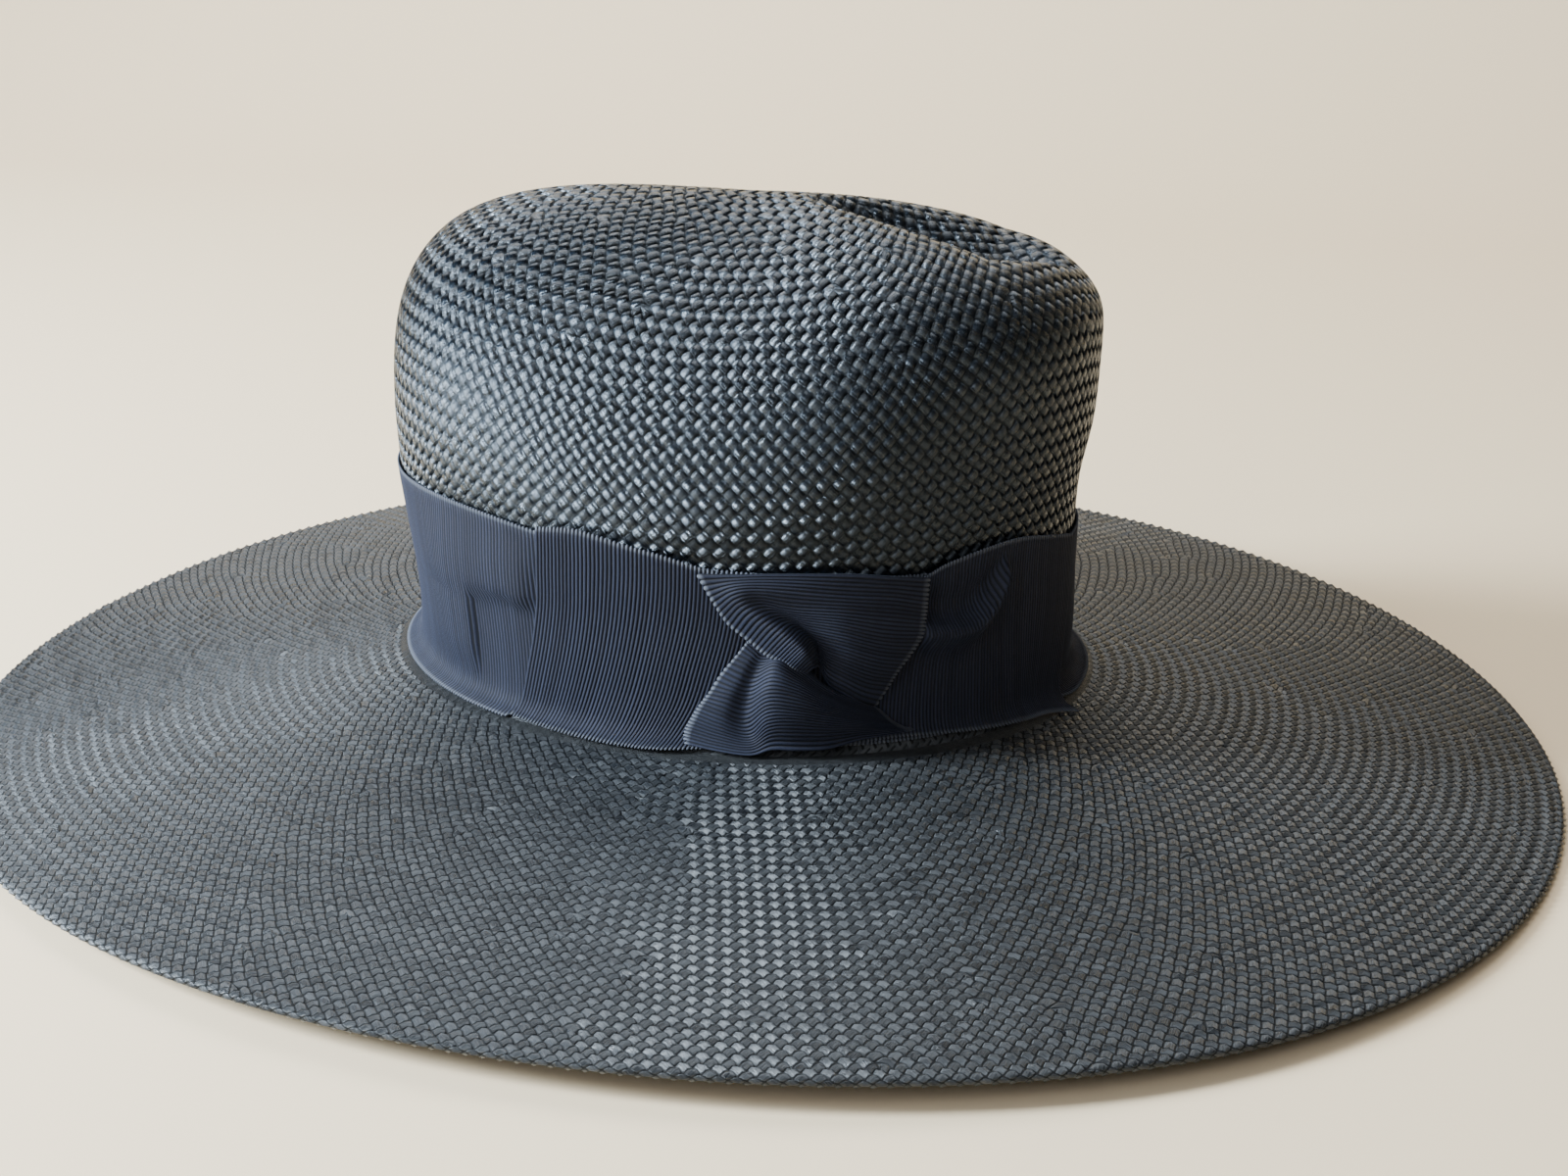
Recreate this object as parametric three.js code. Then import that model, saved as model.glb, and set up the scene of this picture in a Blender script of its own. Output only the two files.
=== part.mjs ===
// A wide-brim hat of plaited sisal straw: a tall blocked crown with a teardrop dent and
// side pinches at its front, a broad stiff brim with a turned hem, a grosgrain ribbon
// band, and a second ribbon tied over it in a flat knot on one side.
// Millimetres, +Z up, +X to the front of the hat, the knot on the -Y side.
// The origin lies on the floor under the middle of the brim.
import * as THREE from "three";

// Brim: an oval sheet that slopes down from the crown to its front and back edges.
const BRIM_HALF_LENGTH = 238.2;
const BRIM_HALF_WIDTH = 221.3;
const BRIM_SQUARENESS = 1.3;
const BRIM_SKEW = 0.7;
const FOOT_HEIGHT = 24.8;
const SIDE_LIFT = 7.35;
const FLAT_REST = 0.35;
const BRIM_BOW = 1.15;
const HEM_WIDTH = 9;
const HEM_THICKNESS = 2.4;
const HEM_ROUND = 0.7;

// Straw: one sheet thickness for crown and brim, and the clearance between pieces.
const STRAW = 1.6;
const GAP = 0.3;
const FOOT_RADIUS = 7;
const COLLAR_HEIGHT = 12;
const COLLAR_THICKNESS = 1.4;

// Crown: its middle lies behind the middle of the brim.
const CROWN_SHIFT = -5.4;
const SHOULDER_BACK = 75.5;
const SHOULDER_FRONT = 98;
const SHOULDER_SIDE_DROP = 28;
const CROWN_HEIGHT = 136.6;
const ROUND_BACK = 3.52;
const ROUND_SIDE = 1.52;
const ROUND_FRONT = 4.23;
const ROUND_SPACING = 2.4;
const RIDGE_FADE = 2.0;

// Half sizes of the crown's oval, each row at a share of the wall's height.
const CROWN_OVALS = [
  { level: 0.0, back: 97.5, front: 97.2, side: 82.3 },
  { level: 0.15, back: 96.4, front: 97.8, side: 82.0 },
  { level: 0.35, back: 97.6, front: 97.4, side: 82.4 },
  { level: 0.6, back: 100.6, front: 97.8, side: 83.2 },
  { level: 0.8, back: 102.6, front: 101.0, side: 84.8 },
  { level: 1.0, back: 103.5, front: 101.9, side: 86.3 },
];
const BRIM_REACH = BRIM_HALF_LENGTH - CROWN_OVALS[0].back;

// The top falls away towards the front, and holds a teardrop dent with a pinch each side.
const FALL_START = 4.3;
const FALL_DEPTH = 14.5;
const FALL_POWER = 3.53;
const DENT_BACK = 12;
const DENT_WIDEST = 71;
const DENT_FRONT = 93;
const DENT_DEPTH = 15;
const DENT_HALF_WIDTH = 16.5;
const DENT_TAPER = 0.75;
const DENT_NARROWEST = 0.02;
const DENT_BACK_SLOPE = 0.6;
const DENT_FRONT_SLOPE = 24;
const DENT_OVERRUN = 4;
const PINCH_PLACE = 73;
const PINCH_LENGTH = 20;
const PINCH_HEIGHT = 92;
const PINCH_REACH = 22;
const PINCH_DEPTH = 5;
const PINCH_FADE = 20;

// Ribbon: grosgrain 56 mm wide, its layers stacked outwards from the straw.
const RIBBON = 0.8;
const BAND_OUT = 0.5;
const LAYER_GAP = 0.4;
const TAIL_OUT = BAND_OUT + RIBBON + LAYER_GAP;
const KNOT_OUT = TAIL_OUT + RIBBON + LAYER_GAP;
const BAND_TOP = 50.5;
const BAND_TILT = 5;
const BAND_NEAR_RISE = 2.5;
const BAND_LOW = -1.6;
const BAND_LOW_TILT = 0.8;

// The tied ribbon. along is measured round the wall from the middle of the near side,
// towards the front. low and high are heights up the wall from its foot, and below
// FOOT_RADIUS they run on over the curve of the foot. thick is the height of the folds.
const LEFT_TAIL = [
  { height: 0.6, start: -48 },
  { height: 12, start: -45.8 },
  { height: 25, start: -42.4 },
  { height: 40, start: -40.3 },
  { height: 57, start: -38.5 },
];
const LEFT_TAIL_END = 24;
const LEFT_TAIL_SINK = 6;
const LEFT_TAIL_SINK_START = -25;
const RIGHT_TAIL = [
  { along: 26, low: 2, high: 49 },
  { along: 55, low: 1.5, high: 48 },
  { along: 68, low: 0.5, high: 49 },
  { along: 88, low: -1, high: 53.5 },
  { along: 108, low: -3, high: 51 },
  { along: 131, low: -5.5, high: 46.6 },
];
const UPPER_LOOP = [
  { along: 9, low: 50.2, high: 52.4, thick: 1.2 },
  { along: 17, low: 41.5, high: 52.5, thick: 2.5 },
  { along: 25, low: 32, high: 52.5, thick: 3.5 },
  { along: 33, low: 27.5, high: 52.4, thick: 4.5 },
  { along: 40, low: 22.5, high: 52.2, thick: 5 },
  { along: 48, low: 16.5, high: 51.7, thick: 5 },
  { along: 55, low: 16, high: 51, thick: 4.5 },
  { along: 61, low: 28, high: 50.5, thick: 3.5 },
  { along: 66, low: 44, high: 50, thick: 2 },
];
const LOWER_LOOP = [
  { along: 4, low: 1.6, high: 6.5, thick: 1.4 },
  { along: 10, low: 0.6, high: 15.5, thick: 3 },
  { along: 18, low: 0.4, high: 27, thick: 4.5 },
  { along: 25, low: 0.4, high: 30.5, thick: 5.5 },
  { along: 33, low: 0.4, high: 25.8, thick: 6 },
  { along: 40, low: 0.6, high: 20.6, thick: 5.5 },
  { along: 48, low: 2, high: 14.8, thick: 4.5 },
  { along: 55, low: 4.5, high: 12, thick: 3 },
  { along: 62, low: 6.5, high: 9, thick: 1.4 },
];
const LOOP_EDGE = 0.12;

// Facets.
const SEGMENTS = 60;
const BRIM_RINGS = 5;
const WALL_RINGS = 5;
const CAP_RINGS = 12;
const FOOT_STEPS = 3;
const RIBBON_FOOT_ROWS = 4;
const RIBBON_WALL_ROWS = 3;
const RIBBON_ROWS = RIBBON_FOOT_ROWS + RIBBON_WALL_ROWS;
const LEFT_TAIL_COLUMNS = 10;
const RIGHT_TAIL_COLUMNS = 14;
const LOOP_COLUMNS = 14;

// Where lengths along the wall are measured, and in how many steps.
const WALL_MIDDLE = 25;
const ARC_STEPS = 720;

const lerp = THREE.MathUtils.lerp;
const clamp = THREE.MathUtils.clamp;
const smoothstep = (value) => THREE.MathUtils.smoothstep(value, 0, 1);

// Reads one column of a table as a smooth curve of another column.
function readTable(rows, key, column, value) {
  const last = rows.length - 1;
  const at = clamp(value, rows[0][key], rows[last][key]);
  let i = 0;
  while (i < last - 1 && at > rows[i + 1][key]) i += 1;
  const slope = (j) => {
    const low = rows[Math.max(j - 1, 0)];
    const high = rows[Math.min(j + 1, last)];
    return (high[column] - low[column]) / (high[key] - low[key]);
  };
  const width = rows[i + 1][key] - rows[i][key];
  const t = (at - rows[i][key]) / width;
  const a = rows[i][column];
  const b = rows[i + 1][column];
  const m = slope(i) * width;
  const n = slope(i + 1) * width;
  return a + t * m + t * t * (3 * (b - a) - 2 * m - n) + t * t * t * (2 * (a - b) + m + n);
}

// Heights of the crown's shoulder, from back to front and lower on both sides.
function shoulderHeight(angle) {
  const across = Math.sin(angle) ** 2;
  return lerp(SHOULDER_BACK, SHOULDER_FRONT, (1 + Math.cos(angle)) / 2) - SHOULDER_SIDE_DROP * across;
}

// Half length and half width of the crown's oval at a share of the wall's height.
function crownOval(angle, level) {
  const front = (1 + Math.cos(angle)) / 2;
  const back = readTable(CROWN_OVALS, "level", "back", level);
  return {
    length: lerp(back, readTable(CROWN_OVALS, "level", "front", level), front),
    width: readTable(CROWN_OVALS, "level", "side", level),
  };
}

// A point of the straw wall, height above the foot, moved outwards by out.
function wallPoint(angle, height, out) {
  const oval = crownOval(angle, height / shoulderHeight(angle));
  return new THREE.Vector3(
    CROWN_SHIFT + (oval.length + out) * Math.cos(angle),
    (oval.width + out) * Math.sin(angle),
    FOOT_HEIGHT + height,
  );
}

// A point of a sheet lying on the wall. Below FOOT_RADIUS, height runs on as a length
// over the rounded foot and then out over the brim.
function wrapPoint(angle, height, out) {
  if (height >= FOOT_RADIUS) return wallPoint(angle, height, out);
  const run = FOOT_RADIUS - height;
  const quarter = (FOOT_RADIUS * Math.PI) / 2;
  const turn = Math.min(run, quarter) / FOOT_RADIUS;
  const radius = FOOT_RADIUS - out;
  const past = Math.max(run - quarter, 0);
  const foot = wallPoint(angle, FOOT_RADIUS, FOOT_RADIUS - radius * Math.cos(turn) + past);
  foot.z = FOOT_HEIGHT + FOOT_RADIUS - radius * Math.sin(turn);
  return foot;
}

// Height of a rounded profile at a share of its half width.
function rounded(share, corner) {
  return Math.max(1 - share ** corner, 0) ** (1 / corner);
}

// The blocked surface of the crown. rise is 0 at the foot, 1 at the shoulder and 2 at
// the middle of the top, which is flat lengthwise and slopes down to both sides.
function crownPoint(angle, rise) {
  const shoulder = shoulderHeight(angle);
  if (rise <= 1) return pinched(wallPoint(angle, rise * shoulder, 0));
  const turn = ((rise - 1) * Math.PI) / 2;
  const size = Math.cos(turn) ** ROUND_SPACING + Math.sin(turn) ** ROUND_SPACING;
  const spread = rise < 2 ? Math.cos(turn) / size ** (1 / ROUND_SPACING) : 0;
  const forward = spread * Math.cos(angle);
  const sideways = spread * Math.sin(angle);
  const reach = Math.sqrt(Math.max(1 - forward * forward, 1e-9));
  const aside = Math.min(Math.abs(sideways) / reach, 1);
  const middle = (ROUND_FRONT + ROUND_BACK) / 2;
  const corner = middle + ((ROUND_FRONT - ROUND_BACK) / 2) * Math.cos(angle);
  const slope = rounded(aside, middle) - rounded(aside, ROUND_SIDE);
  const lift = rounded(spread, corner) - reach ** RIDGE_FADE * slope;
  const oval = crownOval(angle, 1);
  const along = oval.length * forward;
  const across = oval.width * sideways;
  const fall = FALL_DEPTH * (Math.max(along - FALL_START, 0) / 100) ** FALL_POWER;
  const height =
    shoulder + (CROWN_HEIGHT - shoulder) * lift - lift * fall - lift * lift * dent(along, across);
  return pinched(new THREE.Vector3(CROWN_SHIFT + along, across, FOOT_HEIGHT + height));
}

// Depth of the teardrop dent in the top, pointed behind and broad in front.
function dent(along, across) {
  const behind = (along - DENT_BACK) / (DENT_WIDEST - DENT_BACK);
  const before = (DENT_FRONT - along) / (DENT_FRONT - DENT_WIDEST);
  const share = clamp(Math.min(behind, before), DENT_NARROWEST, 1);
  const halfWidth = DENT_HALF_WIDTH * share ** DENT_TAPER;
  const backEnd = smoothstep(behind / DENT_BACK_SLOPE);
  const frontEnd = smoothstep((DENT_FRONT + DENT_OVERRUN - along) / DENT_FRONT_SLOPE);
  return DENT_DEPTH * backEnd * frontEnd * Math.exp(-((across / halfWidth) ** 2));
}

// The two hollows pinched into the sides of the crown near its front.
function pinched(point) {
  const along = (point.x - CROWN_SHIFT - PINCH_PLACE) / PINCH_LENGTH;
  const above = (point.z - FOOT_HEIGHT - PINCH_HEIGHT) / PINCH_REACH;
  const depth = PINCH_DEPTH * Math.exp(-along * along - above * above);
  point.y -= depth * clamp(point.y / PINCH_FADE, -1, 1);
  return point;
}

// The inner side of the straw sheet below a point of the crown.
function crownInside(angle, rise) {
  const here = crownPoint(angle, rise);
  if (rise >= 2) return here.setZ(here.z - STRAW);
  const step = 1e-3;
  const round = crownPoint(angle + step, rise).sub(crownPoint(angle - step, rise));
  const up = crownPoint(angle, Math.min(rise + step, 2)).sub(crownPoint(angle, rise - step));
  return here.sub(round.cross(up).normalize().multiplyScalar(STRAW));
}

// Height of the hem's underside: flat on the floor in front and behind, raised at the sides.
function hemHeight(angle) {
  return Math.max(0, SIDE_LIFT * Math.sin(angle) ** 2 - FLAT_REST);
}

// A point of the brim. out runs from the crown's wall to the edge, in millimetres.
function brimPoint(angle, out, height) {
  const oval = crownOval(angle, FOOT_RADIUS / shoulderHeight(angle));
  const share = out / BRIM_REACH;
  const uneven = BRIM_SKEW * Math.sin(2 * angle) - BRIM_SQUARENESS * Math.cos(4 * angle);
  const length = lerp(oval.length, BRIM_HALF_LENGTH + uneven, share);
  const width = lerp(oval.width, BRIM_HALF_WIDTH + uneven, share);
  const middle = lerp(CROWN_SHIFT, 0, clamp(share, 0, 1));
  return new THREE.Vector3(middle + length * Math.cos(angle), width * Math.sin(angle), height);
}

// Joins rings of points, each going round the hat, into one closed body. A ring of one
// point closes the body there; with no such end the last ring is joined to the first.
function bodyOfRings(rings) {
  const positions = [];
  const faces = [];
  const starts = rings.map((ring) => {
    const start = positions.length / 3;
    ring.forEach((point) => positions.push(point.x, point.y, point.z));
    return start;
  });
  const capped = rings[0].length === 1;
  const joins = capped ? rings.length - 1 : rings.length;
  for (let i = 0; i < joins; i += 1) {
    const j = (i + 1) % rings.length;
    const count = Math.max(rings[i].length, rings[j].length);
    for (let k = 0; k < count; k += 1) {
      const next = (k + 1) % count;
      const a = starts[i] + (rings[i].length === 1 ? 0 : k);
      const b = starts[i] + (rings[i].length === 1 ? 0 : next);
      const c = starts[j] + (rings[j].length === 1 ? 0 : next);
      const d = starts[j] + (rings[j].length === 1 ? 0 : k);
      if (c !== d) faces.push(a, d, c);
      if (a !== b) faces.push(a, c, b);
    }
  }
  return geometryOf(positions, faces);
}

// A body made of an outer and an inner grid of points and the walls that join their edges.
function bodyOfGrids(outer, inner) {
  const rows = outer.length;
  const columns = outer[0].length;
  const positions = [...outer.flat(), ...inner.flat()].flatMap((p) => [p.x, p.y, p.z]);
  const at = (side, i, j) => side * rows * columns + i * columns + j;
  const faces = [];
  const quad = (a, b, c, d) => faces.push(a, c, b, a, d, c);
  for (let i = 0; i < rows - 1; i += 1) {
    for (let j = 0; j < columns - 1; j += 1) {
      quad(at(0, i, j), at(0, i + 1, j), at(0, i + 1, j + 1), at(0, i, j + 1));
      quad(at(1, i, j), at(1, i, j + 1), at(1, i + 1, j + 1), at(1, i + 1, j));
    }
  }
  const rim = [];
  for (let i = 0; i < rows - 1; i += 1) rim.push([i, 0]);
  for (let j = 0; j < columns - 1; j += 1) rim.push([rows - 1, j]);
  for (let i = rows - 1; i > 0; i -= 1) rim.push([i, columns - 1]);
  for (let j = columns - 1; j > 0; j -= 1) rim.push([0, j]);
  rim.forEach(([i, j], k) => {
    const [m, n] = rim[(k + 1) % rim.length];
    quad(at(0, i, j), at(1, i, j), at(1, m, n), at(0, m, n));
  });
  return geometryOf(positions, faces);
}

function geometryOf(positions, faces) {
  const geometry = new THREE.BufferGeometry();
  geometry.setAttribute("position", new THREE.Float32BufferAttribute(positions, 3));
  geometry.setIndex(faces);
  geometry.computeVertexNormals();
  return geometry;
}

// One ring of points round the hat.
function ringOf(pointAt) {
  return Array.from({ length: SEGMENTS }, (_, k) => pointAt((k * 2 * Math.PI) / SEGMENTS));
}

function straw(color) {
  return new THREE.MeshStandardMaterial({ color, roughness: 0.42, metalness: 0 });
}

function grosgrain(color) {
  return new THREE.MeshStandardMaterial({ color, roughness: 0.8, metalness: 0 });
}

// Crown: the outer surface from the top down to the foot, and the inner one back up.
function makeCrown() {
  const foot = FOOT_RADIUS + GAP;
  const levels = [];
  for (let i = 0; i < WALL_RINGS; i += 1) levels.push({ wall: i / WALL_RINGS });
  for (let i = 0; i < CAP_RINGS; i += 1) levels.push({ cap: i / CAP_RINGS });
  const riseAt = (level, angle) => {
    if (level.cap !== undefined) return 1 + level.cap;
    return lerp(foot / shoulderHeight(angle), 1, level.wall);
  };
  const ringAt = (pointAt, level) => ringOf((angle) => pointAt(angle, riseAt(level, angle)));
  const outer = levels.map((level) => ringAt(crownPoint, level));
  const inner = levels.filter((_, i) => i % 2 === 0).map((level) => ringAt(crownInside, level));
  const rings = [[crownPoint(0, 2)], ...outer.reverse(), ...inner, [crownInside(0, 2)]];
  return bodyOfRings(rings);
}

// Brim: its collar inside the crown, the rounded foot, the upper face out to the edge,
// and back under the hem and the lower face.
function makeBrim() {
  const edgeTop = (angle) => hemHeight(angle) + HEM_THICKNESS;
  const upper = (angle, out) => {
    const share = clamp((out - FOOT_RADIUS) / (BRIM_REACH - FOOT_RADIUS), 0, 1);
    return lerp(FOOT_HEIGHT, edgeTop(angle), share ** BRIM_BOW);
  };
  const section = [];
  const add = (out, heightAt) => section.push({ out, heightAt });
  const above = (height) => () => FOOT_HEIGHT + height;
  const collarOut = -STRAW - GAP;
  const collarIn = collarOut - COLLAR_THICKNESS;
  add(collarOut, above(COLLAR_HEIGHT));
  add(collarOut, above(FOOT_RADIUS));
  for (let i = 0; i < FOOT_STEPS; i += 1) {
    const turn = (i / FOOT_STEPS) * (Math.PI / 2);
    add(FOOT_RADIUS * (1 - Math.cos(turn)), above(FOOT_RADIUS * (1 - Math.sin(turn))));
  }
  const outs = [];
  for (let i = 0; i <= BRIM_RINGS; i += 1) {
    outs.push(lerp(FOOT_RADIUS, BRIM_REACH - HEM_WIDTH, i / BRIM_RINGS));
  }
  outs.forEach((out) => add(out, (angle) => upper(angle, out)));
  add(BRIM_REACH - HEM_ROUND, (angle) => upper(angle, BRIM_REACH - HEM_ROUND));
  add(BRIM_REACH, (angle) => edgeTop(angle) - HEM_ROUND);
  add(BRIM_REACH, (angle) => hemHeight(angle) + HEM_ROUND);
  add(BRIM_REACH - HEM_ROUND, hemHeight);
  add(BRIM_REACH - HEM_WIDTH, hemHeight);
  outs
    .map((out) => Math.min(out, BRIM_REACH - HEM_WIDTH - STRAW))
    .reverse()
    .forEach((out) => add(out, (angle) => upper(angle, out) - STRAW));
  const under = FOOT_RADIUS + STRAW;
  for (let i = FOOT_STEPS - 1; i > 0; i -= 1) {
    const turn = (i / FOOT_STEPS) * (Math.PI / 2);
    add(FOOT_RADIUS - under * Math.cos(turn), above(FOOT_RADIUS - under * Math.sin(turn)));
  }
  add(collarIn, above(FOOT_RADIUS));
  add(collarIn, above(COLLAR_HEIGHT));
  const rings = section.map(({ out, heightAt }) =>
    ringOf((angle) => brimPoint(angle, out, heightAt(angle))),
  );
  return bodyOfRings(rings);
}

// Heights of the band's two edges round the crown.
function bandEdges(angle) {
  return {
    low: BAND_LOW - BAND_LOW_TILT * (1 + Math.cos(angle)),
    high: BAND_TOP - BAND_TILT * Math.cos(angle) - BAND_NEAR_RISE * Math.sin(angle),
  };
}

// Band: one ribbon all the way round the foot of the crown.
function makeBand() {
  const at = (row, out) =>
    ringOf((angle) => {
      const { low, high } = bandEdges(angle);
      return wrapPoint(angle, rowHeight(low, high, row), out);
    });
  const rows = Array.from({ length: RIBBON_ROWS + 1 }, (_, row) => row);
  const outer = rows.map((row) => at(row, BAND_OUT + RIBBON));
  const inner = rows.map((row) => at(row, BAND_OUT));
  return bodyOfRings([...outer.reverse(), ...inner]);
}

// Height of one row of a ribbon's facets: some rows turn over the rounded foot, and the
// rest climb the wall.
function rowHeight(low, high, row) {
  if (row <= RIBBON_FOOT_ROWS) return lerp(low, FOOT_RADIUS, row / RIBBON_FOOT_ROWS);
  return lerp(FOOT_RADIUS, high, (row - RIBBON_FOOT_ROWS) / RIBBON_WALL_ROWS);
}

// Lengths along the wall, from the middle of the near side, and the angles they reach.
const arcTable = (() => {
  const rows = [];
  let length = 0;
  let before = null;
  for (let i = 0; i <= ARC_STEPS; i += 1) {
    const angle = -Math.PI + (Math.PI * i) / ARC_STEPS;
    const here = wallPoint(angle, WALL_MIDDLE, TAIL_OUT);
    if (before) length += here.distanceTo(before);
    rows.push({ angle, length });
    before = here;
  }
  const middle = rows[ARC_STEPS / 2].length;
  rows.forEach((row) => (row.length -= middle));
  return rows;
})();

function angleAt(along) {
  const i = arcTable.findIndex((row) => row.length >= along);
  const low = arcTable[Math.max(i - 1, 0)];
  const high = arcTable[Math.max(i, 1)];
  const share = (along - low.length) / (high.length - low.length);
  return lerp(low.angle, high.angle, share);
}

// A layer of ribbon on the wall. placeAt gives along, height and thickness for a share
// from 0 to 1 along the ribbon and for a row of its facets.
function ribbonLayer(columns, out, placeAt) {
  const grid = (side) =>
    Array.from({ length: RIBBON_ROWS + 1 }, (_, row) =>
      Array.from({ length: columns + 1 }, (_, j) => {
        const place = placeAt(j / columns, row);
        return wrapPoint(angleAt(place.along), place.height, out + side * place.thick);
      }),
    );
  return bodyOfGrids(grid(1), grid(0));
}

// Left tail: a flat length of ribbon that ends in a slanting cut.
function makeLeftTail() {
  const top = LEFT_TAIL[LEFT_TAIL.length - 1].height;
  return ribbonLayer(LEFT_TAIL_COLUMNS, TAIL_OUT, (across, row) => {
    const level = rowHeight(LEFT_TAIL[0].height, top, row);
    const start = readTable(LEFT_TAIL, "height", "start", level);
    const along = lerp(start, LEFT_TAIL_END, across);
    const sink = LEFT_TAIL_SINK * smoothstep(1 - along / LEFT_TAIL_SINK_START);
    const height = rowHeight(LEFT_TAIL[0].height, top - sink, row);
    return { along, height, thick: RIBBON };
  });
}

// Right tail: the other end, which runs from the knot to the front.
function makeRightTail() {
  const first = RIGHT_TAIL[0].along;
  const last = RIGHT_TAIL[RIGHT_TAIL.length - 1].along;
  return ribbonLayer(RIGHT_TAIL_COLUMNS, TAIL_OUT, (across, row) => {
    const along = lerp(first, last, across);
    const low = readTable(RIGHT_TAIL, "along", "low", along);
    const high = readTable(RIGHT_TAIL, "along", "high", along);
    return { along, height: rowHeight(low, high, row), thick: RIBBON };
  });
}

// A loop of the knot: folded ribbon, thick in its middle and thin at its edges.
function makeLoop(table) {
  const first = table[0].along;
  const last = table[table.length - 1].along;
  return ribbonLayer(LOOP_COLUMNS, KNOT_OUT, (across, row) => {
    const along = lerp(first, last, across);
    const up = row / RIBBON_ROWS;
    const low = readTable(table, "along", "low", along);
    const high = readTable(table, "along", "high", along);
    const full = readTable(table, "along", "thick", along);
    const crown = Math.sqrt(Math.sin(Math.PI * lerp(LOOP_EDGE, 1 - LOOP_EDGE, up)));
    return { along, height: lerp(low, high, up), thick: full * crown };
  });
}

const hat = new THREE.Group();
const pieces = [
  ["crown", makeCrown(), straw(0x2b333d)],
  ["brim", makeBrim(), straw(0x313943)],
  ["ribbon_band", makeBand(), grosgrain(0x222c44)],
  ["ribbon_left_tail", makeLeftTail(), grosgrain(0x222c44)],
  ["ribbon_right_tail", makeRightTail(), grosgrain(0x1c2438)],
  ["knot_upper_loop", makeLoop(UPPER_LOOP), grosgrain(0x1f2840)],
  ["knot_lower_loop", makeLoop(LOWER_LOOP), grosgrain(0x1f2840)],
];
pieces.forEach(([name, geometry, material]) => {
  const mesh = new THREE.Mesh(geometry, material);
  mesh.name = name;
  hat.add(mesh);
});

export default hat;
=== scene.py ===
# A wide-brim hat of plaited sisal straw, with a grosgrain ribbon band tied in a flat knot.
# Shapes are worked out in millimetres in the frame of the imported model, and made in metres.
import math

import bpy
import numpy as np
from mathutils import Matrix, Vector


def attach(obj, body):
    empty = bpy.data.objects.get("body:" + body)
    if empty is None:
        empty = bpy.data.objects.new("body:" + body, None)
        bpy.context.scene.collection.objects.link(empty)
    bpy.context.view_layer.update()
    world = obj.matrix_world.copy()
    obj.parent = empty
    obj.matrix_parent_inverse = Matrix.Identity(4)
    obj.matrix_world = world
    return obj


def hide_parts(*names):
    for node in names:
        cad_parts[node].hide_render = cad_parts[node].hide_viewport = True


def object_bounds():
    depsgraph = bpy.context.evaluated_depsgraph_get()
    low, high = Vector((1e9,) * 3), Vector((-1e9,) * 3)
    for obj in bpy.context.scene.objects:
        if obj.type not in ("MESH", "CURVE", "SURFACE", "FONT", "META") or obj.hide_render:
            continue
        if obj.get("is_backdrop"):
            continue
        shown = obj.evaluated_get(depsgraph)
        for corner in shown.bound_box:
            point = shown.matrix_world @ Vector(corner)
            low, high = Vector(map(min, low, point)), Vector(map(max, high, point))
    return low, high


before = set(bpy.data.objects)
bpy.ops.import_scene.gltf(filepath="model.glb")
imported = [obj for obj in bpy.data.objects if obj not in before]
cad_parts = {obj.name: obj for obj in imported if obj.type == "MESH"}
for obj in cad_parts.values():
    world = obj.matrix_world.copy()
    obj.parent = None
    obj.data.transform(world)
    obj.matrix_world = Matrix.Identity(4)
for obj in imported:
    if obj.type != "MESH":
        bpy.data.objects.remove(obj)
cad_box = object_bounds()

MM = 0.001
FULL_TURN = 2 * math.pi
TINY = 1e-9

# Brim: an oval sheet that slopes down from the crown to its front and back edges.
BRIM_HALF_LENGTH = 238.2
BRIM_HALF_WIDTH = 221.3
BRIM_SQUARENESS = 1.3
BRIM_SKEW = 0.7
FOOT_HEIGHT = 24.8
FOOT_RADIUS = 7
SIDE_LIFT = 7.35
FLAT_REST = 0.35
BRIM_BOW = 1.15
HEM_WIDTH = 9
HEM_THICKNESS = 2.4
STRAW = 1.6

# Crown: its middle lies behind the middle of the brim.
CROWN_SHIFT = -5.4
SHOULDER_BACK = 75.5
SHOULDER_FRONT = 98
SHOULDER_SIDE_DROP = 28
CROWN_HEIGHT = 136.6
ROUND_BACK = 3.52
ROUND_SIDE = 1.52
ROUND_FRONT = 4.23
ROUND_SPACING = 2.4
RIDGE_FADE = 2.0
CROWN_OVALS = [
    {"level": 0.0, "back": 97.5, "front": 97.2, "side": 82.3},
    {"level": 0.15, "back": 96.4, "front": 97.8, "side": 82.0},
    {"level": 0.35, "back": 97.6, "front": 97.4, "side": 82.4},
    {"level": 0.6, "back": 100.6, "front": 97.8, "side": 83.2},
    {"level": 0.8, "back": 102.6, "front": 101.0, "side": 84.8},
    {"level": 1.0, "back": 103.5, "front": 101.9, "side": 86.3},
]
BRIM_REACH = BRIM_HALF_LENGTH - CROWN_OVALS[0]["back"]

# The top falls away to the front, with a teardrop dent and a pinch on each side.
FALL_START = 4.3
FALL_LENGTH = 100
FALL_DEPTH = 14.5
FALL_POWER = 3.53
DENT_BACK = 12
DENT_WIDEST = 71
DENT_FRONT = 93
DENT_DEPTH = 15
DENT_HALF_WIDTH = 16.5
DENT_TAPER = 0.75
DENT_NARROWEST = 0.02
DENT_BACK_SLOPE = 0.6
DENT_FRONT_SLOPE = 24
DENT_OVERRUN = 4
PINCH_PLACE = 73
PINCH_LENGTH = 20
PINCH_HEIGHT = 92
PINCH_REACH = 22
PINCH_DEPTH = 5
PINCH_FADE = 20

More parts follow.
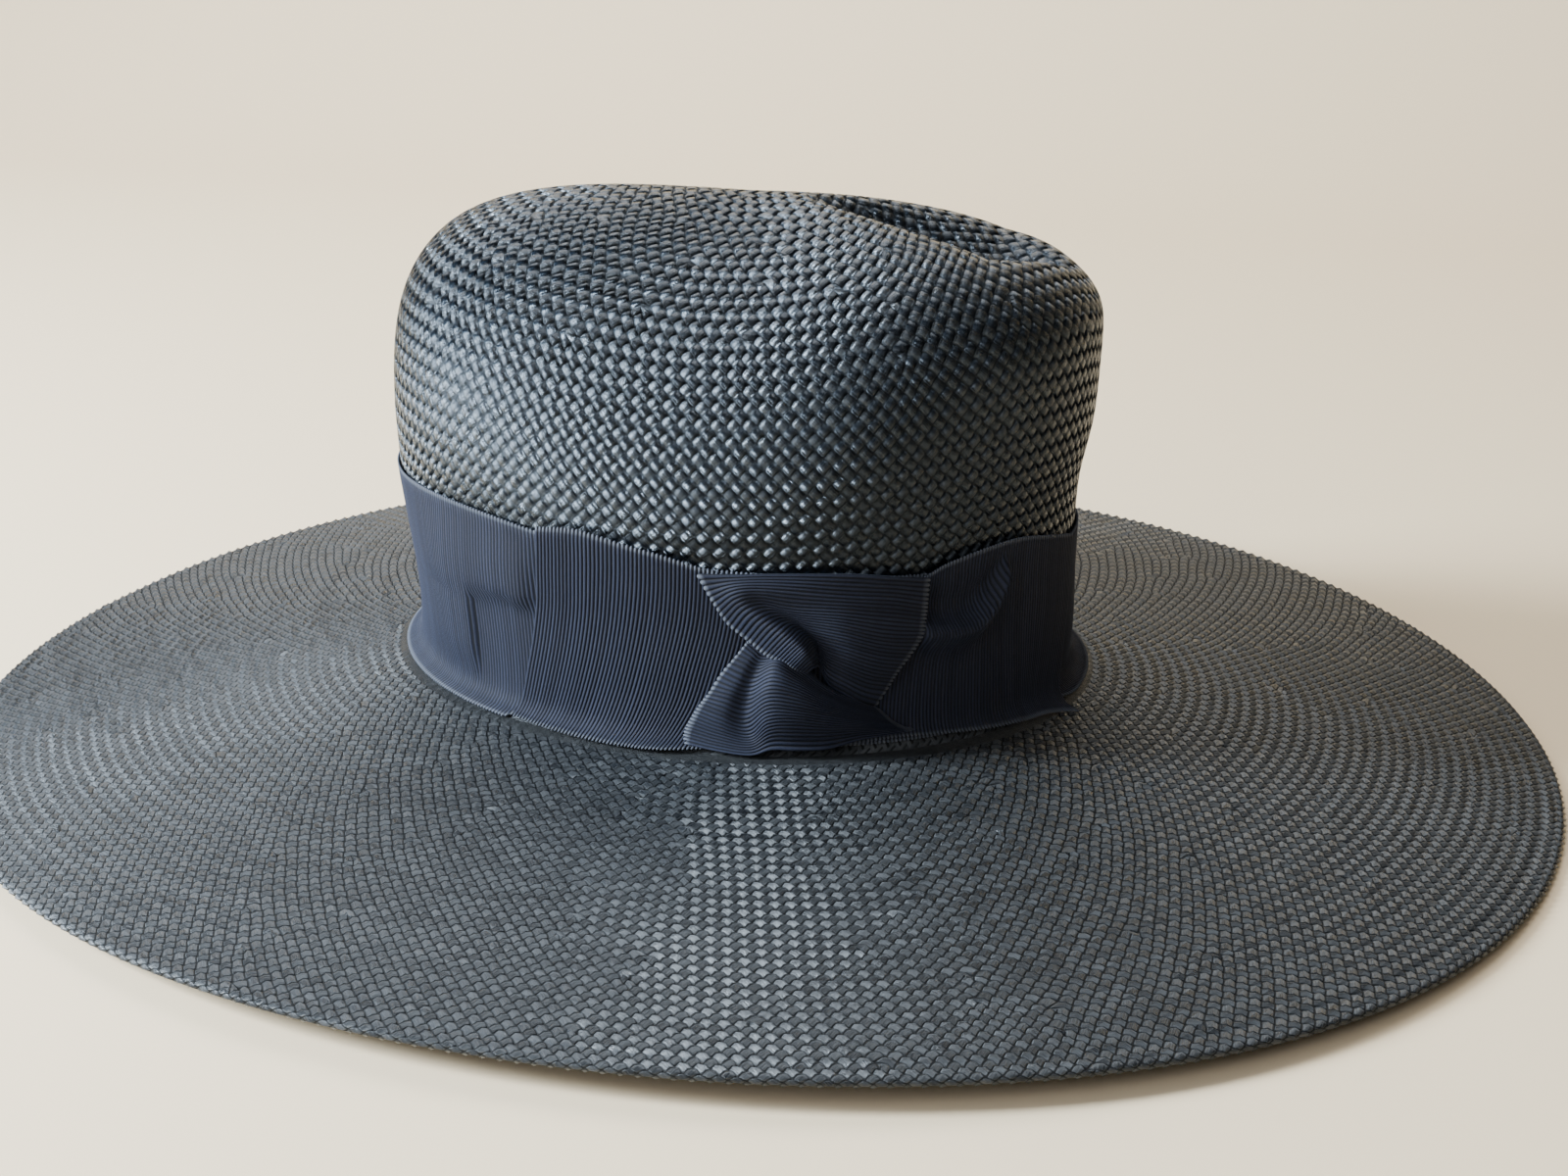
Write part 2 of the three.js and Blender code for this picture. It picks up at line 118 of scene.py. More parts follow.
# Plait: strands cross at 45 degrees to the rows. A cell is one crossing, and a column
# or row of the pattern holds two, so its pitch is the cell's diagonal.
PITCH = 4.3
CROWN_COLUMNS = 135
WALL_ROW = 3.6
TOP_ROW = 4.4
GOLDEN_ANGLE = math.pi * (3 - math.sqrt(5))
TOP_COLUMNS = 4
BRIM_PITCH = 3.95
STRAND_LONG = 1.05
STRAND_FLAT = 1.5
STRAND_OVERLAP = 0.25
STRAND_SEED = 7
START_JITTER = 0.3
CROWN_RELIEF = {"centre": 0.26, "quarter": 0.25, "middle": -0.36, "hole": -0.8}
BRIM_RELIEF = {"centre": 0.26, "quarter": 0.22, "middle": -0.34, "hole": -0.9}


def lerp(a, b, share):
    return a + (b - a) * share


def smoothstep(value):
    value = np.clip(value, 0, 1)
    return value * value * (3 - 2 * value)


def floats(*values):
    """Arrays of floats, all of one shape."""
    return np.broadcast_arrays(*(np.asarray(value, float) for value in values))


def step_lengths(line):
    return np.linalg.norm(np.diff(line, axis=0), axis=1)


def running_sum(values):
    return np.concatenate([[0], np.cumsum(values)])


def cubic(t, a, b, m, n):
    """A curve from a to b, with the slopes m and n at its ends."""
    return a + t * m + t**2 * (3 * (b - a) - 2 * m - n) + t**3 * (2 * (a - b) + m + n)


def read_table(rows, key, column, value):
    """Reads one column of a table as a smooth curve of another column."""
    keys = np.array([row[key] for row in rows], float)
    values = np.array([row[column] for row in rows], float)
    order = np.arange(len(rows))
    low, high = np.maximum(order - 1, 0), np.minimum(order + 1, len(rows) - 1)
    slopes = (values[high] - values[low]) / (keys[high] - keys[low])
    at = np.clip(value, keys[0], keys[-1])
    i = np.clip(np.searchsorted(keys, at, side="right") - 1, 0, len(rows) - 2)
    width = keys[i + 1] - keys[i]
    t = (at - keys[i]) / width
    return cubic(t, values[i], values[i + 1], slopes[i] * width, slopes[i + 1] * width)


# Shape of the crown


def shoulder_height(angle):
    across = np.sin(angle) ** 2
    return lerp(SHOULDER_BACK, SHOULDER_FRONT, (1 + np.cos(angle)) / 2) - SHOULDER_SIDE_DROP * across


def crown_oval(angle, level):
    """Half length and half width of the crown at a share of the wall's height."""
    front = (1 + np.cos(angle)) / 2
    back = read_table(CROWN_OVALS, "level", "back", level)
    length = lerp(back, read_table(CROWN_OVALS, "level", "front", level), front)
    return length, read_table(CROWN_OVALS, "level", "side", level)


def wall_point(angle, height, out):
    """A point of the wall, height above its foot, moved outwards by out."""
    length, width = crown_oval(angle, height / shoulder_height(angle))
    x = CROWN_SHIFT + (length + out) * np.cos(angle)
    y = (width + out) * np.sin(angle)
    return np.stack(np.broadcast_arrays(x, y, FOOT_HEIGHT + height), -1)


def dent(along, across):
    """Depth of the teardrop dent, pointed behind and broad in front."""
    behind = (along - DENT_BACK) / (DENT_WIDEST - DENT_BACK)
    before = (DENT_FRONT - along) / (DENT_FRONT - DENT_WIDEST)
    share = np.clip(np.minimum(behind, before), DENT_NARROWEST, 1)
    half_width = DENT_HALF_WIDTH * share**DENT_TAPER
    back_end = smoothstep(behind / DENT_BACK_SLOPE)
    front_end = smoothstep((DENT_FRONT + DENT_OVERRUN - along) / DENT_FRONT_SLOPE)
    return DENT_DEPTH * back_end * front_end * np.exp(-((across / half_width) ** 2))


def pinched(points):
    """Pinches the two hollows into the sides near the front."""
    along = (points[..., 0] - CROWN_SHIFT - PINCH_PLACE) / PINCH_LENGTH
    above = (points[..., 2] - FOOT_HEIGHT - PINCH_HEIGHT) / PINCH_REACH
    depth = PINCH_DEPTH * np.exp(-(along**2) - above**2)
    points[..., 1] -= depth * np.clip(points[..., 1] / PINCH_FADE, -1, 1)
    return points


def rounded(share, corner):
    """Height of a rounded profile at a share of its half width."""
    return np.maximum(1 - share**corner, 0) ** (1 / corner)


def cap_spread(rise):
    """How far out a place on the top lies: 1 at the shoulder, 0 in the middle."""
    turn = np.clip(rise - 1, 0, 1) * math.pi / 2
    near, far = np.maximum(np.cos(turn), 0), np.sin(turn)
    return near / (near**ROUND_SPACING + far**ROUND_SPACING) ** (1 / ROUND_SPACING)


def crown_point(angle, rise):
    """A point of the crown. rise is 0 at the foot, 1 at the shoulder, 2 at the top,
    which is flat lengthwise and slopes down to both sides."""
    angle, rise = floats(angle, rise)
    shoulder = shoulder_height(angle)
    wall = wall_point(angle, np.minimum(rise, 1) * shoulder, 0)
    spread = cap_spread(rise)
    forward, sideways = spread * np.cos(angle), spread * np.sin(angle)
    reach = np.sqrt(np.maximum(1 - forward**2, TINY))
    aside = np.minimum(np.abs(sideways) / reach, 1)
    middle = (ROUND_FRONT + ROUND_BACK) / 2
    corner = middle + (ROUND_FRONT - ROUND_BACK) / 2 * np.cos(angle)
    slope = rounded(aside, middle) - rounded(aside, ROUND_SIDE)
    lift = rounded(spread, corner) - reach**RIDGE_FADE * slope
    length, width = crown_oval(angle, 1.0)
    along, across = length * forward, width * sideways
    fall = FALL_DEPTH * (np.maximum(along - FALL_START, 0) / FALL_LENGTH) ** FALL_POWER
    height = shoulder + (CROWN_HEIGHT - shoulder) * lift - lift * fall
    height = height - lift**2 * dent(along, across)
    cap = np.stack([CROWN_SHIFT + along, across, FOOT_HEIGHT + height], -1)
    return pinched(np.where(rise[..., None] <= 1, wall, cap))


# Shape of the brim


def hem_height(angle):
    """Height of the hem's underside: on the floor in front and behind, raised at the sides."""
    return np.maximum(0, SIDE_LIFT * np.sin(angle) ** 2 - FLAT_REST)


def brim_upper(angle, out):
    """Height of the upper face, out from the crown's wall."""
    share = np.clip((out - FOOT_RADIUS) / (BRIM_REACH - FOOT_RADIUS), 0, 1)
    return lerp(FOOT_HEIGHT, hem_height(angle) + HEM_THICKNESS, share**BRIM_BOW)


def brim_point(angle, out, height):
    """A point of the brim, out from the foot of the crown's wall and at a height."""
    length, width = crown_oval(angle, FOOT_RADIUS / shoulder_height(angle))
    share = out / BRIM_REACH
    uneven = BRIM_SKEW * np.sin(2 * angle) - BRIM_SQUARENESS * np.cos(4 * angle)
    length = lerp(length, BRIM_HALF_LENGTH + uneven, share)
    width = lerp(width, BRIM_HALF_WIDTH + uneven, share)
    middle = lerp(CROWN_SHIFT, 0, np.clip(share, 0, 1))
    x, y = middle + length * np.cos(angle), width * np.sin(angle)
    return np.stack(np.broadcast_arrays(x, y, height), -1)


# Plait: rings of vertices that follow the crossings

RING_SAMPLES = 720
PHASE_SAMPLES = 2880
NORMAL_STEP = 0.02
CAP_WEAVE = [(0.5, 0), (0.6, 0), (0.5, 0.1)]


class Shell:
    """A surface laid out in rows of the plait. point(angle, row) gives its points."""

    def __init__(self, point, radius, columns, starts, relief):
        self.point = point
        self.radius = radius
        self.columns = columns
        self.starts = starts
        self.relief = relief


def strand_starts(first, last, pitch):
    """Places where a pair of strands is added, as the rings grow from first to last."""
    chance = np.random.default_rng(STRAND_SEED)
    count = np.arange(first, last) + 0.5
    radius = (count + START_JITTER * chance.uniform(-1, 1, len(count))) * pitch / FULL_TURN
    angle = GOLDEN_ANGLE * count + 0.5 * START_JITTER * chance.uniform(-1, 1, len(count))
    return radius * np.exp(1j * angle)


def column_phase(shell, row, turns):
    """Columns of the plait counted round a ring at the turns given, and how many there are."""
    place = shell.radius(row) * np.exp(1j * turns)
    away = place[None, :] - shell.starts[:, None]
    growth = shell.columns * np.diff(turns) + np.angle(away[:, 1:] / away[:, :-1]).sum(0)
    begin = np.angle(away[:, 0]).sum()
    phase = np.concatenate([[begin], begin + np.cumsum(growth)]) / FULL_TURN
    return np.maximum.accumulate(phase), int(round(phase[-1] - phase[0]))


class Ring:
    """One ring of vertices. quarters are the columns of the vertices, times four, and
    step is how many of them lie between two vertices. A plain ring has no plait, and
    lies at a depth under the surface."""

    def __init__(self, shell, row, step=1, depth=0.0, plain=False):
        angles = np.linspace(0, FULL_TURN, RING_SAMPLES + 1)
        line = shell.point(angles, np.full_like(angles, row))
        along = running_sum(step_lengths(line))
        self.angles, self.turns = angles, along / along[-1] * FULL_TURN
        turns = np.linspace(0, FULL_TURN, PHASE_SAMPLES + 1)
        phase, self.columns = column_phase(shell, row, turns)
        self.row, self.quarter_row, self.step = row, int(round(4 * row)), step
        shift = self.quarter_row % 2 if step == 2 else 0
        first = math.ceil((4 * phase[0] - shift) / step) * step + shift
        self.quarters = first + step * np.arange(4 * self.columns // step)
        self.turn = np.interp(self.quarters, 4 * phase, turns)
        self.place(shell, depth, plain)

    def place(self, shell, depth, plain):
        """Works out the points, and how far each has moved from its place in the plait."""
        column = np.zeros(len(self.quarters))
        row, height = column.copy(), column - depth
        if not plain:
            column, row, height = strand_shape(self.quarters, self.quarter_row, shell.relief)
        turn = self.turn + column / 4 / self.columns * FULL_TURN
        angle = np.interp(turn % FULL_TURN, self.turns, self.angles)
        row = self.row + row / 4
        across = shell.point(angle + NORMAL_STEP, row) - shell.point(angle - NORMAL_STEP, row)
        down = shell.point(angle, row + NORMAL_STEP) - shell.point(angle, row - NORMAL_STEP)
        normal = np.cross(down, across)
        normal /= np.maximum(np.linalg.norm(normal, axis=1, keepdims=True), TINY)
        self.points = shell.point(angle, row) + normal * height[:, None]
        self.moved = column
        self.rows = 4 * row


def plain_ring(shell, row, depth=0.0):
    """A ring without plait, with one vertex for each column."""
    return Ring(shell, row, 4, depth, True)


def strand_shape(quarters, row, relief):
    """Moves and raises the vertices of one ring, so that each crossing shows the strand
    on top: long and flat along its own direction, and low where the next crosses it."""
    k, m = quarters % 4, row % 4
    dc, dr = np.zeros(len(k)), np.zeros(len(k))
    height = np.full(len(k), relief["middle"])
    even = k % 2 == 0
    odd = ~even
    if m % 2 == 0:
        height[even] = np.where(k[even] == m, relief["centre"], relief["hole"])
        # The quarter points lie between a crossing's middle and the holes beside it.
        side = np.where((k[odd] + 1) % 4 == m, -1, 1)
        long, flat = (STRAND_LONG, STRAND_FLAT) if m == 0 else (STRAND_FLAT, STRAND_LONG)
        dc[odd] = side * ((long + flat) / 2 - 1)
        dr[odd] = side * (long - flat) / 2
        height[odd] = relief["quarter"]
    else:
        side = np.where(k[even] == (m + 1) % 4, -1, 1)
        long = np.where(k[even] == 0, STRAND_LONG, STRAND_FLAT)
        flat = np.where(k[even] == 0, STRAND_FLAT, STRAND_LONG)
        dr[even] = side * ((long + flat) / 2 - 1)
        dc[even] = side * (long - flat) / 2
        height[even] = relief["quarter"]
        # The middles of the edges move under the strand whose side they are.
        to_first = np.where(k[odd] == 3, 1, -1)
        row_to_first = 1 if m == 3 else -1
        push = np.where(to_first == row_to_first, -STRAND_OVERLAP, STRAND_OVERLAP)
        dc[odd] = push * to_first
        dr[odd] = push * row_to_first
    return dc, dr, height


def stitch(low, high):
    """Triangles between two rings. A corner is (ring, vertex, quarter column)."""
    count_a, count_b = len(low.turn), len(high.turn)
    keys_a = low.quarters.tolist()
    turns_a = low.turn.tolist() + [low.turn[0] + FULL_TURN]
    ahead = (high.turn - low.turn[0] + math.pi) % FULL_TURN - math.pi
    start = int(np.argmin(np.abs(ahead)))
    order = (start + np.arange(count_b + 1)) % count_b
    loops = (start + np.arange(count_b + 1)) // count_b
    turns_b = (high.turn[order] + FULL_TURN * loops).tolist()
    around = FULL_TURN * round((turns_b[0] - turns_a[0]) / FULL_TURN)
    turns_b = [turn - around for turn in turns_b]
    keys_b = (high.quarters[order] + 4 * high.columns * loops).tolist()
    order = order.tolist()
    grid = low.step == 1 and high.step == 1
    close = 0.5 * FULL_TURN / max(count_a, count_b)
    row = low.quarter_row
    triangles = []
    i = j = 0
    while i < count_a or j < count_b:
        key = keys_a[i % count_a] + (4 * low.columns if i == count_a else 0)
        lead = keys_b[j] - key
        other = key + lead - 4 * round(lead / 4)
        next_a = (i + 1) % count_a
        a, b = (0, i % count_a, key), (1, order[j], other)
        can_a, can_b = i < count_a, j < count_b
        if grid and can_a and can_b and lead % 4 == 0:
            if abs(turns_a[i + 1] - turns_b[j + 1]) < close:
                c, d = (0, next_a, key + 1), (1, order[j + 1], other + 1)
                crossing = (key + key % 2 - row - row % 2) % 4 == 0
                if (key + row) % 2 == (0 if crossing else 1):
                    triangles += [(a, b, c), (c, b, d)]
                else:
                    triangles += [(a, d, c), (a, b, d)]
                i += 1
                j += 1
                continue
        if can_a and (not can_b or turns_a[i + 1] <= turns_b[j + 1]):
            triangles.append((a, b, (0, next_a, key + low.step)))
            i += 1
        else:
            triangles.append((a, b, (1, order[j + 1], other + high.step)))
            j += 1
    return triangles


def plaited(name, rings, caps=()):
    """Joins rings into one closed mesh, with the strands' directions in a UV map. caps
    are the points that close the first and last ring, or none where the body is a loop."""
    starts = running_sum([len(ring.quarters) for ring in rings])
    points = [ring.points for ring in rings]
    corners, plait = [], []
    pairs = len(rings) - 1 if caps else len(rings)
    for n in range(pairs):
        m = (n + 1) % len(rings)
        pair = (rings[n], rings[m])
        for triangle in stitch(*pair):
            for side, vertex, key in triangle:
                ring = pair[side]
                corners.append(starts[(n, m)[side]] + vertex)
                column, row = key + ring.moved[vertex], ring.rows[vertex]
                plait.append(((column + row) / 4, (column - row) / 4))
    for at, ring, begin, flip in zip(caps, rings[:: len(rings) - 1], starts[[0, -2]], (1, -1)):
        middle = starts[-1] + len(points) - len(rings)
        points.append(np.array([at]))
        count = len(ring.quarters)
        for k in range(count):
            pair = (begin + k, begin + (k + 1) % count)[::flip]
            corners += [middle, *pair]
            plait += CAP_WEAVE
    return make_mesh(name, np.concatenate(points), np.array(corners).reshape(-1, 3), plait)


def add_object(name, data):
    thing = bpy.data.objects.new(name, data)
    bpy.context.scene.collection.objects.link(thing)
    return thing


def make_mesh(name, points, faces, uv=None):
    """Makes an object of a triangle or quad mesh whose points are in millimetres."""
    mesh = bpy.data.meshes.new(name)
    mesh.from_pydata((np.asarray(points) * MM).tolist(), [], np.asarray(faces).tolist())
    if uv is not None:
        layer = mesh.uv_layers.new(name="weave")
        layer.data.foreach_set("uv", np.asarray(uv, np.float32).ravel())
    mesh.polygons.foreach_set("use_smooth", [True] * len(mesh.polygons))
    mesh.validate()
    return add_object(name, mesh)


# Crown

CLEARANCE = 0.3
CROWN_FOOT = FOOT_RADIUS + CLEARANCE
WEAVE_CENTRE = 0.3
CROWN_ROWS = 44
WOVEN_ROWS = 36
PLAIN_ROWS = (36.5, 39)
PLAIN_DEPTH = 0.1
SPARE_COLUMNS = 0.7
COARSE_ROW = 2.5
WIDEN_FROM = 0.8
WIDEN_OVER = 0.6
TABLE_ANGLES = 120
TABLE_STEPS = 600


def woven_point(angle, rise):
    """A point of the crown, counted from the middle of its plait on the far slope."""
    angle, rise = floats(angle, rise)
    spread = cap_spread(rise)
    forward = spread * np.cos(angle)
    sideways = spread * np.sin(angle) + WEAVE_CENTRE * (1 - spread**2)
    spread = np.minimum(np.hypot(forward, sideways), 1)
    lift = (1 - spread**ROUND_SPACING) ** (1 / ROUND_SPACING)
    cap = 1 + np.arctan2(lift, spread) / (math.pi / 2)
    moved = rise > 1
    angle = np.where(moved, np.arctan2(sideways, forward), angle)
    return crown_point(angle, np.where(moved, cap, rise))


class Meridians:
    """Places spaced evenly down the crown, from the middle of the top to the foot."""

    def __init__(self):
        self.angles = np.linspace(0, FULL_TURN, TABLE_ANGLES + 1)
        self.rises = []
        for angle in self.angles:
            low = CROWN_FOOT / shoulder_height(angle)
            rises = np.linspace(2, low, TABLE_STEPS + 1)
            line = woven_point(np.full_like(rises, angle), rises)
            widen = np.clip((rises[1:] - WIDEN_FROM) / WIDEN_OVER, 0, 1)
            pitch = lerp(WALL_ROW, TOP_ROW, widen)
            run = running_sum(step_lengths(line) / pitch)
            shares = np.linspace(0, run[-1], TABLE_STEPS + 1)
            self.rises.append(np.interp(shares, run, rises))
        self.rises = np.array(self.rises)

    def rise(self, angle, share):
        a = (angle % FULL_TURN) / FULL_TURN * TABLE_ANGLES
        b = np.clip(share, 0, 1) * TABLE_STEPS
        i = np.minimum(a.astype(int), TABLE_ANGLES - 1)
        j = np.minimum(b.astype(int), TABLE_STEPS - 1)
        a, b = a - i, b - j
        first = lerp(self.rises[i, j], self.rises[i, j + 1], b)
        return lerp(first, lerp(self.rises[i + 1, j], self.rises[i + 1, j + 1], b), a)


meridians = Meridians()


def crown_row(angle, row):
    angle, row = floats(angle, row)
    return woven_point(angle, meridians.rise(angle, row / CROWN_ROWS))


def ring_length(point, row):
    angles = np.linspace(0, FULL_TURN, RING_SAMPLES + 1)
    line = point(angles, np.full_like(angles, row))
    return step_lengths(line).sum()


def make_crown():
    rows = np.linspace(0, CROWN_ROWS, 4 * CROWN_ROWS + 1)
    lengths = np.array([ring_length(crown_row, row) for row in rows])
    full = (CROWN_COLUMNS + SPARE_COLUMNS) * PITCH
    widths = np.maximum.accumulate(np.minimum(lengths, full)) / FULL_TURN
    past = np.maximum(rows - rows[np.argmax(lengths >= full)], 0) * PITCH
    radii = widths + past
    starts = strand_starts(TOP_COLUMNS, CROWN_COLUMNS, PITCH)

    def radius(row):
        return np.interp(row, rows, radii)

    shell = Shell(crown_row, radius, TOP_COLUMNS, starts, CROWN_RELIEF)
    rings = [Ring(shell, row) for row in np.arange(1, 4 * WOVEN_ROWS) / 4]
    # The straw under the ribbon doesn't show, so it has no plait.
    rings += [plain_ring(shell, row, PLAIN_DEPTH) for row in PLAIN_ROWS]
    rings.append(plain_ring(shell, CROWN_ROWS))
    inside = np.linspace(CROWN_ROWS, 1, int(CROWN_ROWS / COARSE_ROW))
    rings += [plain_ring(shell, row, STRAW) for row in inside]
    top = woven_point(0.0, 2.0)
    return plaited("crown_plait", rings, (top, top - [0, 0, STRAW]))


# Brim

HEM_GROOVE = 6
GROOVE_DEPTH = 0.3
GROOVE_WIDTH = 0.8
EDGE_ROUND = 1.15
HEM_ROWS = 2.0
UNDER_RINGS = 30
COLLAR_HEIGHT = 12
COLLAR_THICKNESS = 1.4
FOOT_TURNS_BELOW = (1.05, 0.52)
FOOT_TURNS_ABOVE = (0, 0.4, 0.8, 1.2)


def groove(out):
    """Depth of the stitched line round the hem."""
    return GROOVE_DEPTH * np.exp(-(((BRIM_REACH - HEM_GROOVE - out) / GROOVE_WIDTH) ** 2))


def brim_row(angle, row):
    """A point of the brim's outer face. Rows count from the edge's middle: those below 0
    lie on the upper face, and those above 0 under the hem."""
    angle, row = floats(angle, row)
    run = row * BRIM_PITCH
    quarter = EDGE_ROUND * math.pi / 2
    turn = np.clip(run / EDGE_ROUND, -math.pi / 2, math.pi / 2)
    flat = np.maximum(np.abs(run) - quarter, 0)
    out = BRIM_REACH - EDGE_ROUND * (1 - np.cos(turn)) - flat
    under = hem_height(angle) + EDGE_ROUND * (1 - np.sin(turn))
    upper = brim_upper(angle, out) - groove(out)
    edge = hem_height(angle) + HEM_THICKNESS - EDGE_ROUND * (1 + np.sin(turn))
    height = np.where(run < -quarter, upper, np.where(run > quarter, hem_height(angle), edge))
    return brim_point(angle, out, height)


def make_brim():
    inner = -int(4 * (BRIM_REACH - FOOT_RADIUS) / BRIM_PITCH) / 4
    rows = np.arange(4 * inner, 4 * HEM_ROWS + 1) / 4
    edge_columns = ring_length(brim_row, 0) / BRIM_PITCH
    lengths = np.array([ring_length(brim_row, min(row, 0)) for row in rows])
    radii = lengths / FULL_TURN
    first = int(lengths[0] / BRIM_PITCH)
    starts = strand_starts(first, int(edge_columns) - 1, BRIM_PITCH)

    def radius(row):
        return np.interp(row, rows, radii)

    shell = Shell(brim_row, radius, first, starts, BRIM_RELIEF)
    rings = [Ring(shell, row, 2) for row in rows]

    def under_row(angle, row):
        out = BRIM_REACH - HEM_WIDTH - row
        height = brim_upper(angle, out) - STRAW
        return brim_point(angle, out, height)

    def under_radius(row):
        return radii[-1] - row

    under = Shell(under_row, under_radius, first, starts, BRIM_RELIEF)
    reach = BRIM_REACH - HEM_WIDTH - FOOT_RADIUS
    for row in np.linspace(STRAW, reach, UNDER_RINGS):
        rings.append(plain_ring(under, row))

    def foot_radius(row):
        return radii[0] - 1

    def foot(out, height):
        """A plain ring, out from the crown's wall and at a height above its foot."""

        def point(angle, row):
            return brim_point(angle, out, FOOT_HEIGHT + height + 0 * angle)

        rings.append(plain_ring(Shell(point, foot_radius, first, starts, BRIM_RELIEF), 0))

    thick = FOOT_RADIUS + STRAW
    for turn in FOOT_TURNS_BELOW:
        foot(FOOT_RADIUS - thick * math.cos(turn), FOOT_RADIUS - thick * math.sin(turn))
    collar_out = -STRAW - CLEARANCE
    collar_in = collar_out - COLLAR_THICKNESS
    foot(collar_in, FOOT_RADIUS)
    foot(collar_in, COLLAR_HEIGHT)
    foot(collar_out, COLLAR_HEIGHT)
    foot(collar_out, FOOT_RADIUS)
    for turn in FOOT_TURNS_ABOVE:
        foot(FOOT_RADIUS * (1 - math.cos(turn)), FOOT_RADIUS * (1 - math.sin(turn)))
    return plaited("brim_plait", rings)


# Ribbon: a sheet of grosgrain, ribbed across its length, with looped selvedges

RIB = 1.15
RIB_RELIEF = 0.36
RIB_SHARPNESS = 0.6
LOOP_REACH = 0.75
LOOP_NARROW = 10
CLOTH = 0.5
RIBBON_WIDTH = 56
BAND_OUT = 1.25
BAND_TOP = 50.5
BAND_TILT = 5
BAND_NEAR_RISE = 2.5
BAND_PUFF_RISE = 3.2
BAND_LOW = -1.6
BAND_LOW_TILT = 0.8
BAND_TUCK = 4.4
WALL_MIDDLE = 25
WALL_OUT = 1.7
ARC_SAMPLES = 721

# Places round the band are angles from the middle of the near side. A start, an end,
# a foot or a top stands with the length over which it fades.
RISE_PLACE = -0.6
RISE_SPREAD = 0.45
TUCK_START = (-0.52, 0.05)
TUCK_END = (1.4, 0.2)

# The band's hollow beside the left tail has a crease over it and a slit on its left.
PUFF_START = (-104, 30)
PUFF_END = (-37.5, 8)
CREASE_HEIGHT = 33
CREASE_PLACE = -60
CREASE_SLOPE = 0.06
CREASE_RAMP = 1.8
CREASE_PUFF = 2.2
CREASE_TOP = (58, 22)
SLIT_END = (-64, 3.2)
SLIT_PUFF = 2.1
SLIT_FOOT = (4, 14)
SLIT_OVERRUN = 2
SLIT_TOP_RAMP = 4

# The fold on the right tail runs level from the knot and then curves up.
FOLD_HEIGHT = 33.5
FOLD_LOWEST = 77
FOLD_BOW = 0.012
FOLD_CURL = 0.0032
FOLD_START = (62, 6)
FOLD_END = (110, 10)
FOLD_TOP = (53, 9)
FOLD_STEEP = 2.5
FOLD_GENTLE = 5
FOLD_RISE = 4.9
TROUGH_ABOVE = 7.5
TROUGH_SPREAD = 4
TROUGH_DEPTH = 1.3


def wrap_point(angle, height, out):
    """A point of a sheet on the wall. Below FOOT_RADIUS it runs over the rounded foot."""
    angle, height, out = np.broadcast_arrays(angle, height, out)
    run = np.maximum(FOOT_RADIUS - height, 0)
    turn = np.minimum(run / FOOT_RADIUS, math.pi / 2)
    radius = FOOT_RADIUS - out
    past = np.maximum(run - FOOT_RADIUS * math.pi / 2, 0)
    spread = np.where(run > 0, FOOT_RADIUS - radius * np.cos(turn) + past, out)
    points = wall_point(angle, np.maximum(height, FOOT_RADIUS), spread)
    points[..., 2] -= radius * np.sin(turn)
    return points


def arc_table():
    """Lengths along the wall from the middle of the near side, and the angles they reach."""
    angles = np.linspace(-math.pi, 0, ARC_SAMPLES)
    line = wall_point(angles, np.full_like(angles, WALL_MIDDLE), WALL_OUT)
    run = running_sum(step_lengths(line))
    return run - run[len(run) // 2], angles


ARC_LENGTHS, ARC_ANGLES = arc_table()


def knot_point(along, height, out):
    """A point of a fold on the near side, along from its middle towards the front. It
    stands off the wall and the curve of its foot."""
    low = np.clip(height, 0, FOOT_RADIUS)
    flare = FOOT_RADIUS - np.sqrt(FOOT_RADIUS**2 - (FOOT_RADIUS - low) ** 2)
    angle = np.interp(along, ARC_LENGTHS, ARC_ANGLES)
    return wall_point(angle, height, out + flare)


def spline(values, share):
    """A smooth curve through values spaced evenly over shares from 0 to 1."""
    last = len(values) - 1
    at = np.clip(share, 0, 1) * last
    i = np.minimum(at.astype(int), last - 1)
    t = (at - i).reshape((-1,) + (1,) * (values.ndim - 1))
    slopes = np.gradient(values, axis=0)
    return cubic(t, values[i], values[i + 1], slopes[i], slopes[i + 1])


def net_surface(net, shape=None):
    """A surface through a net of (along, height, out), each row of it a rib. shape adds
    to its distance out."""
    net = np.array(net, float)

    def place(run, across, lift):
        rows = spline(net, run[:, 0])
        share = np.clip(across, 0, 1) * (rows.shape[1] - 1)
        first = np.minimum(share.astype(int), rows.shape[1] - 2)
        rib = np.arange(len(rows))[:, None]
        slopes = np.gradient(rows, axis=1)
        t = (share - first)[..., None]
        ends = rows[rib, first], rows[rib, first + 1]
        values = cubic(t, *ends, slopes[rib, first], slopes[rib, first + 1])
        beyond = (across - np.clip(across, 0, 1))[..., None]
        values = values + beyond * slopes[rib, first] * len(slopes[0])
        along, height, out = (values[..., k] for k in range(3))
        more = shape(along, height) if shape else 0
        return knot_point(along, height, out + lift + more)

    return place


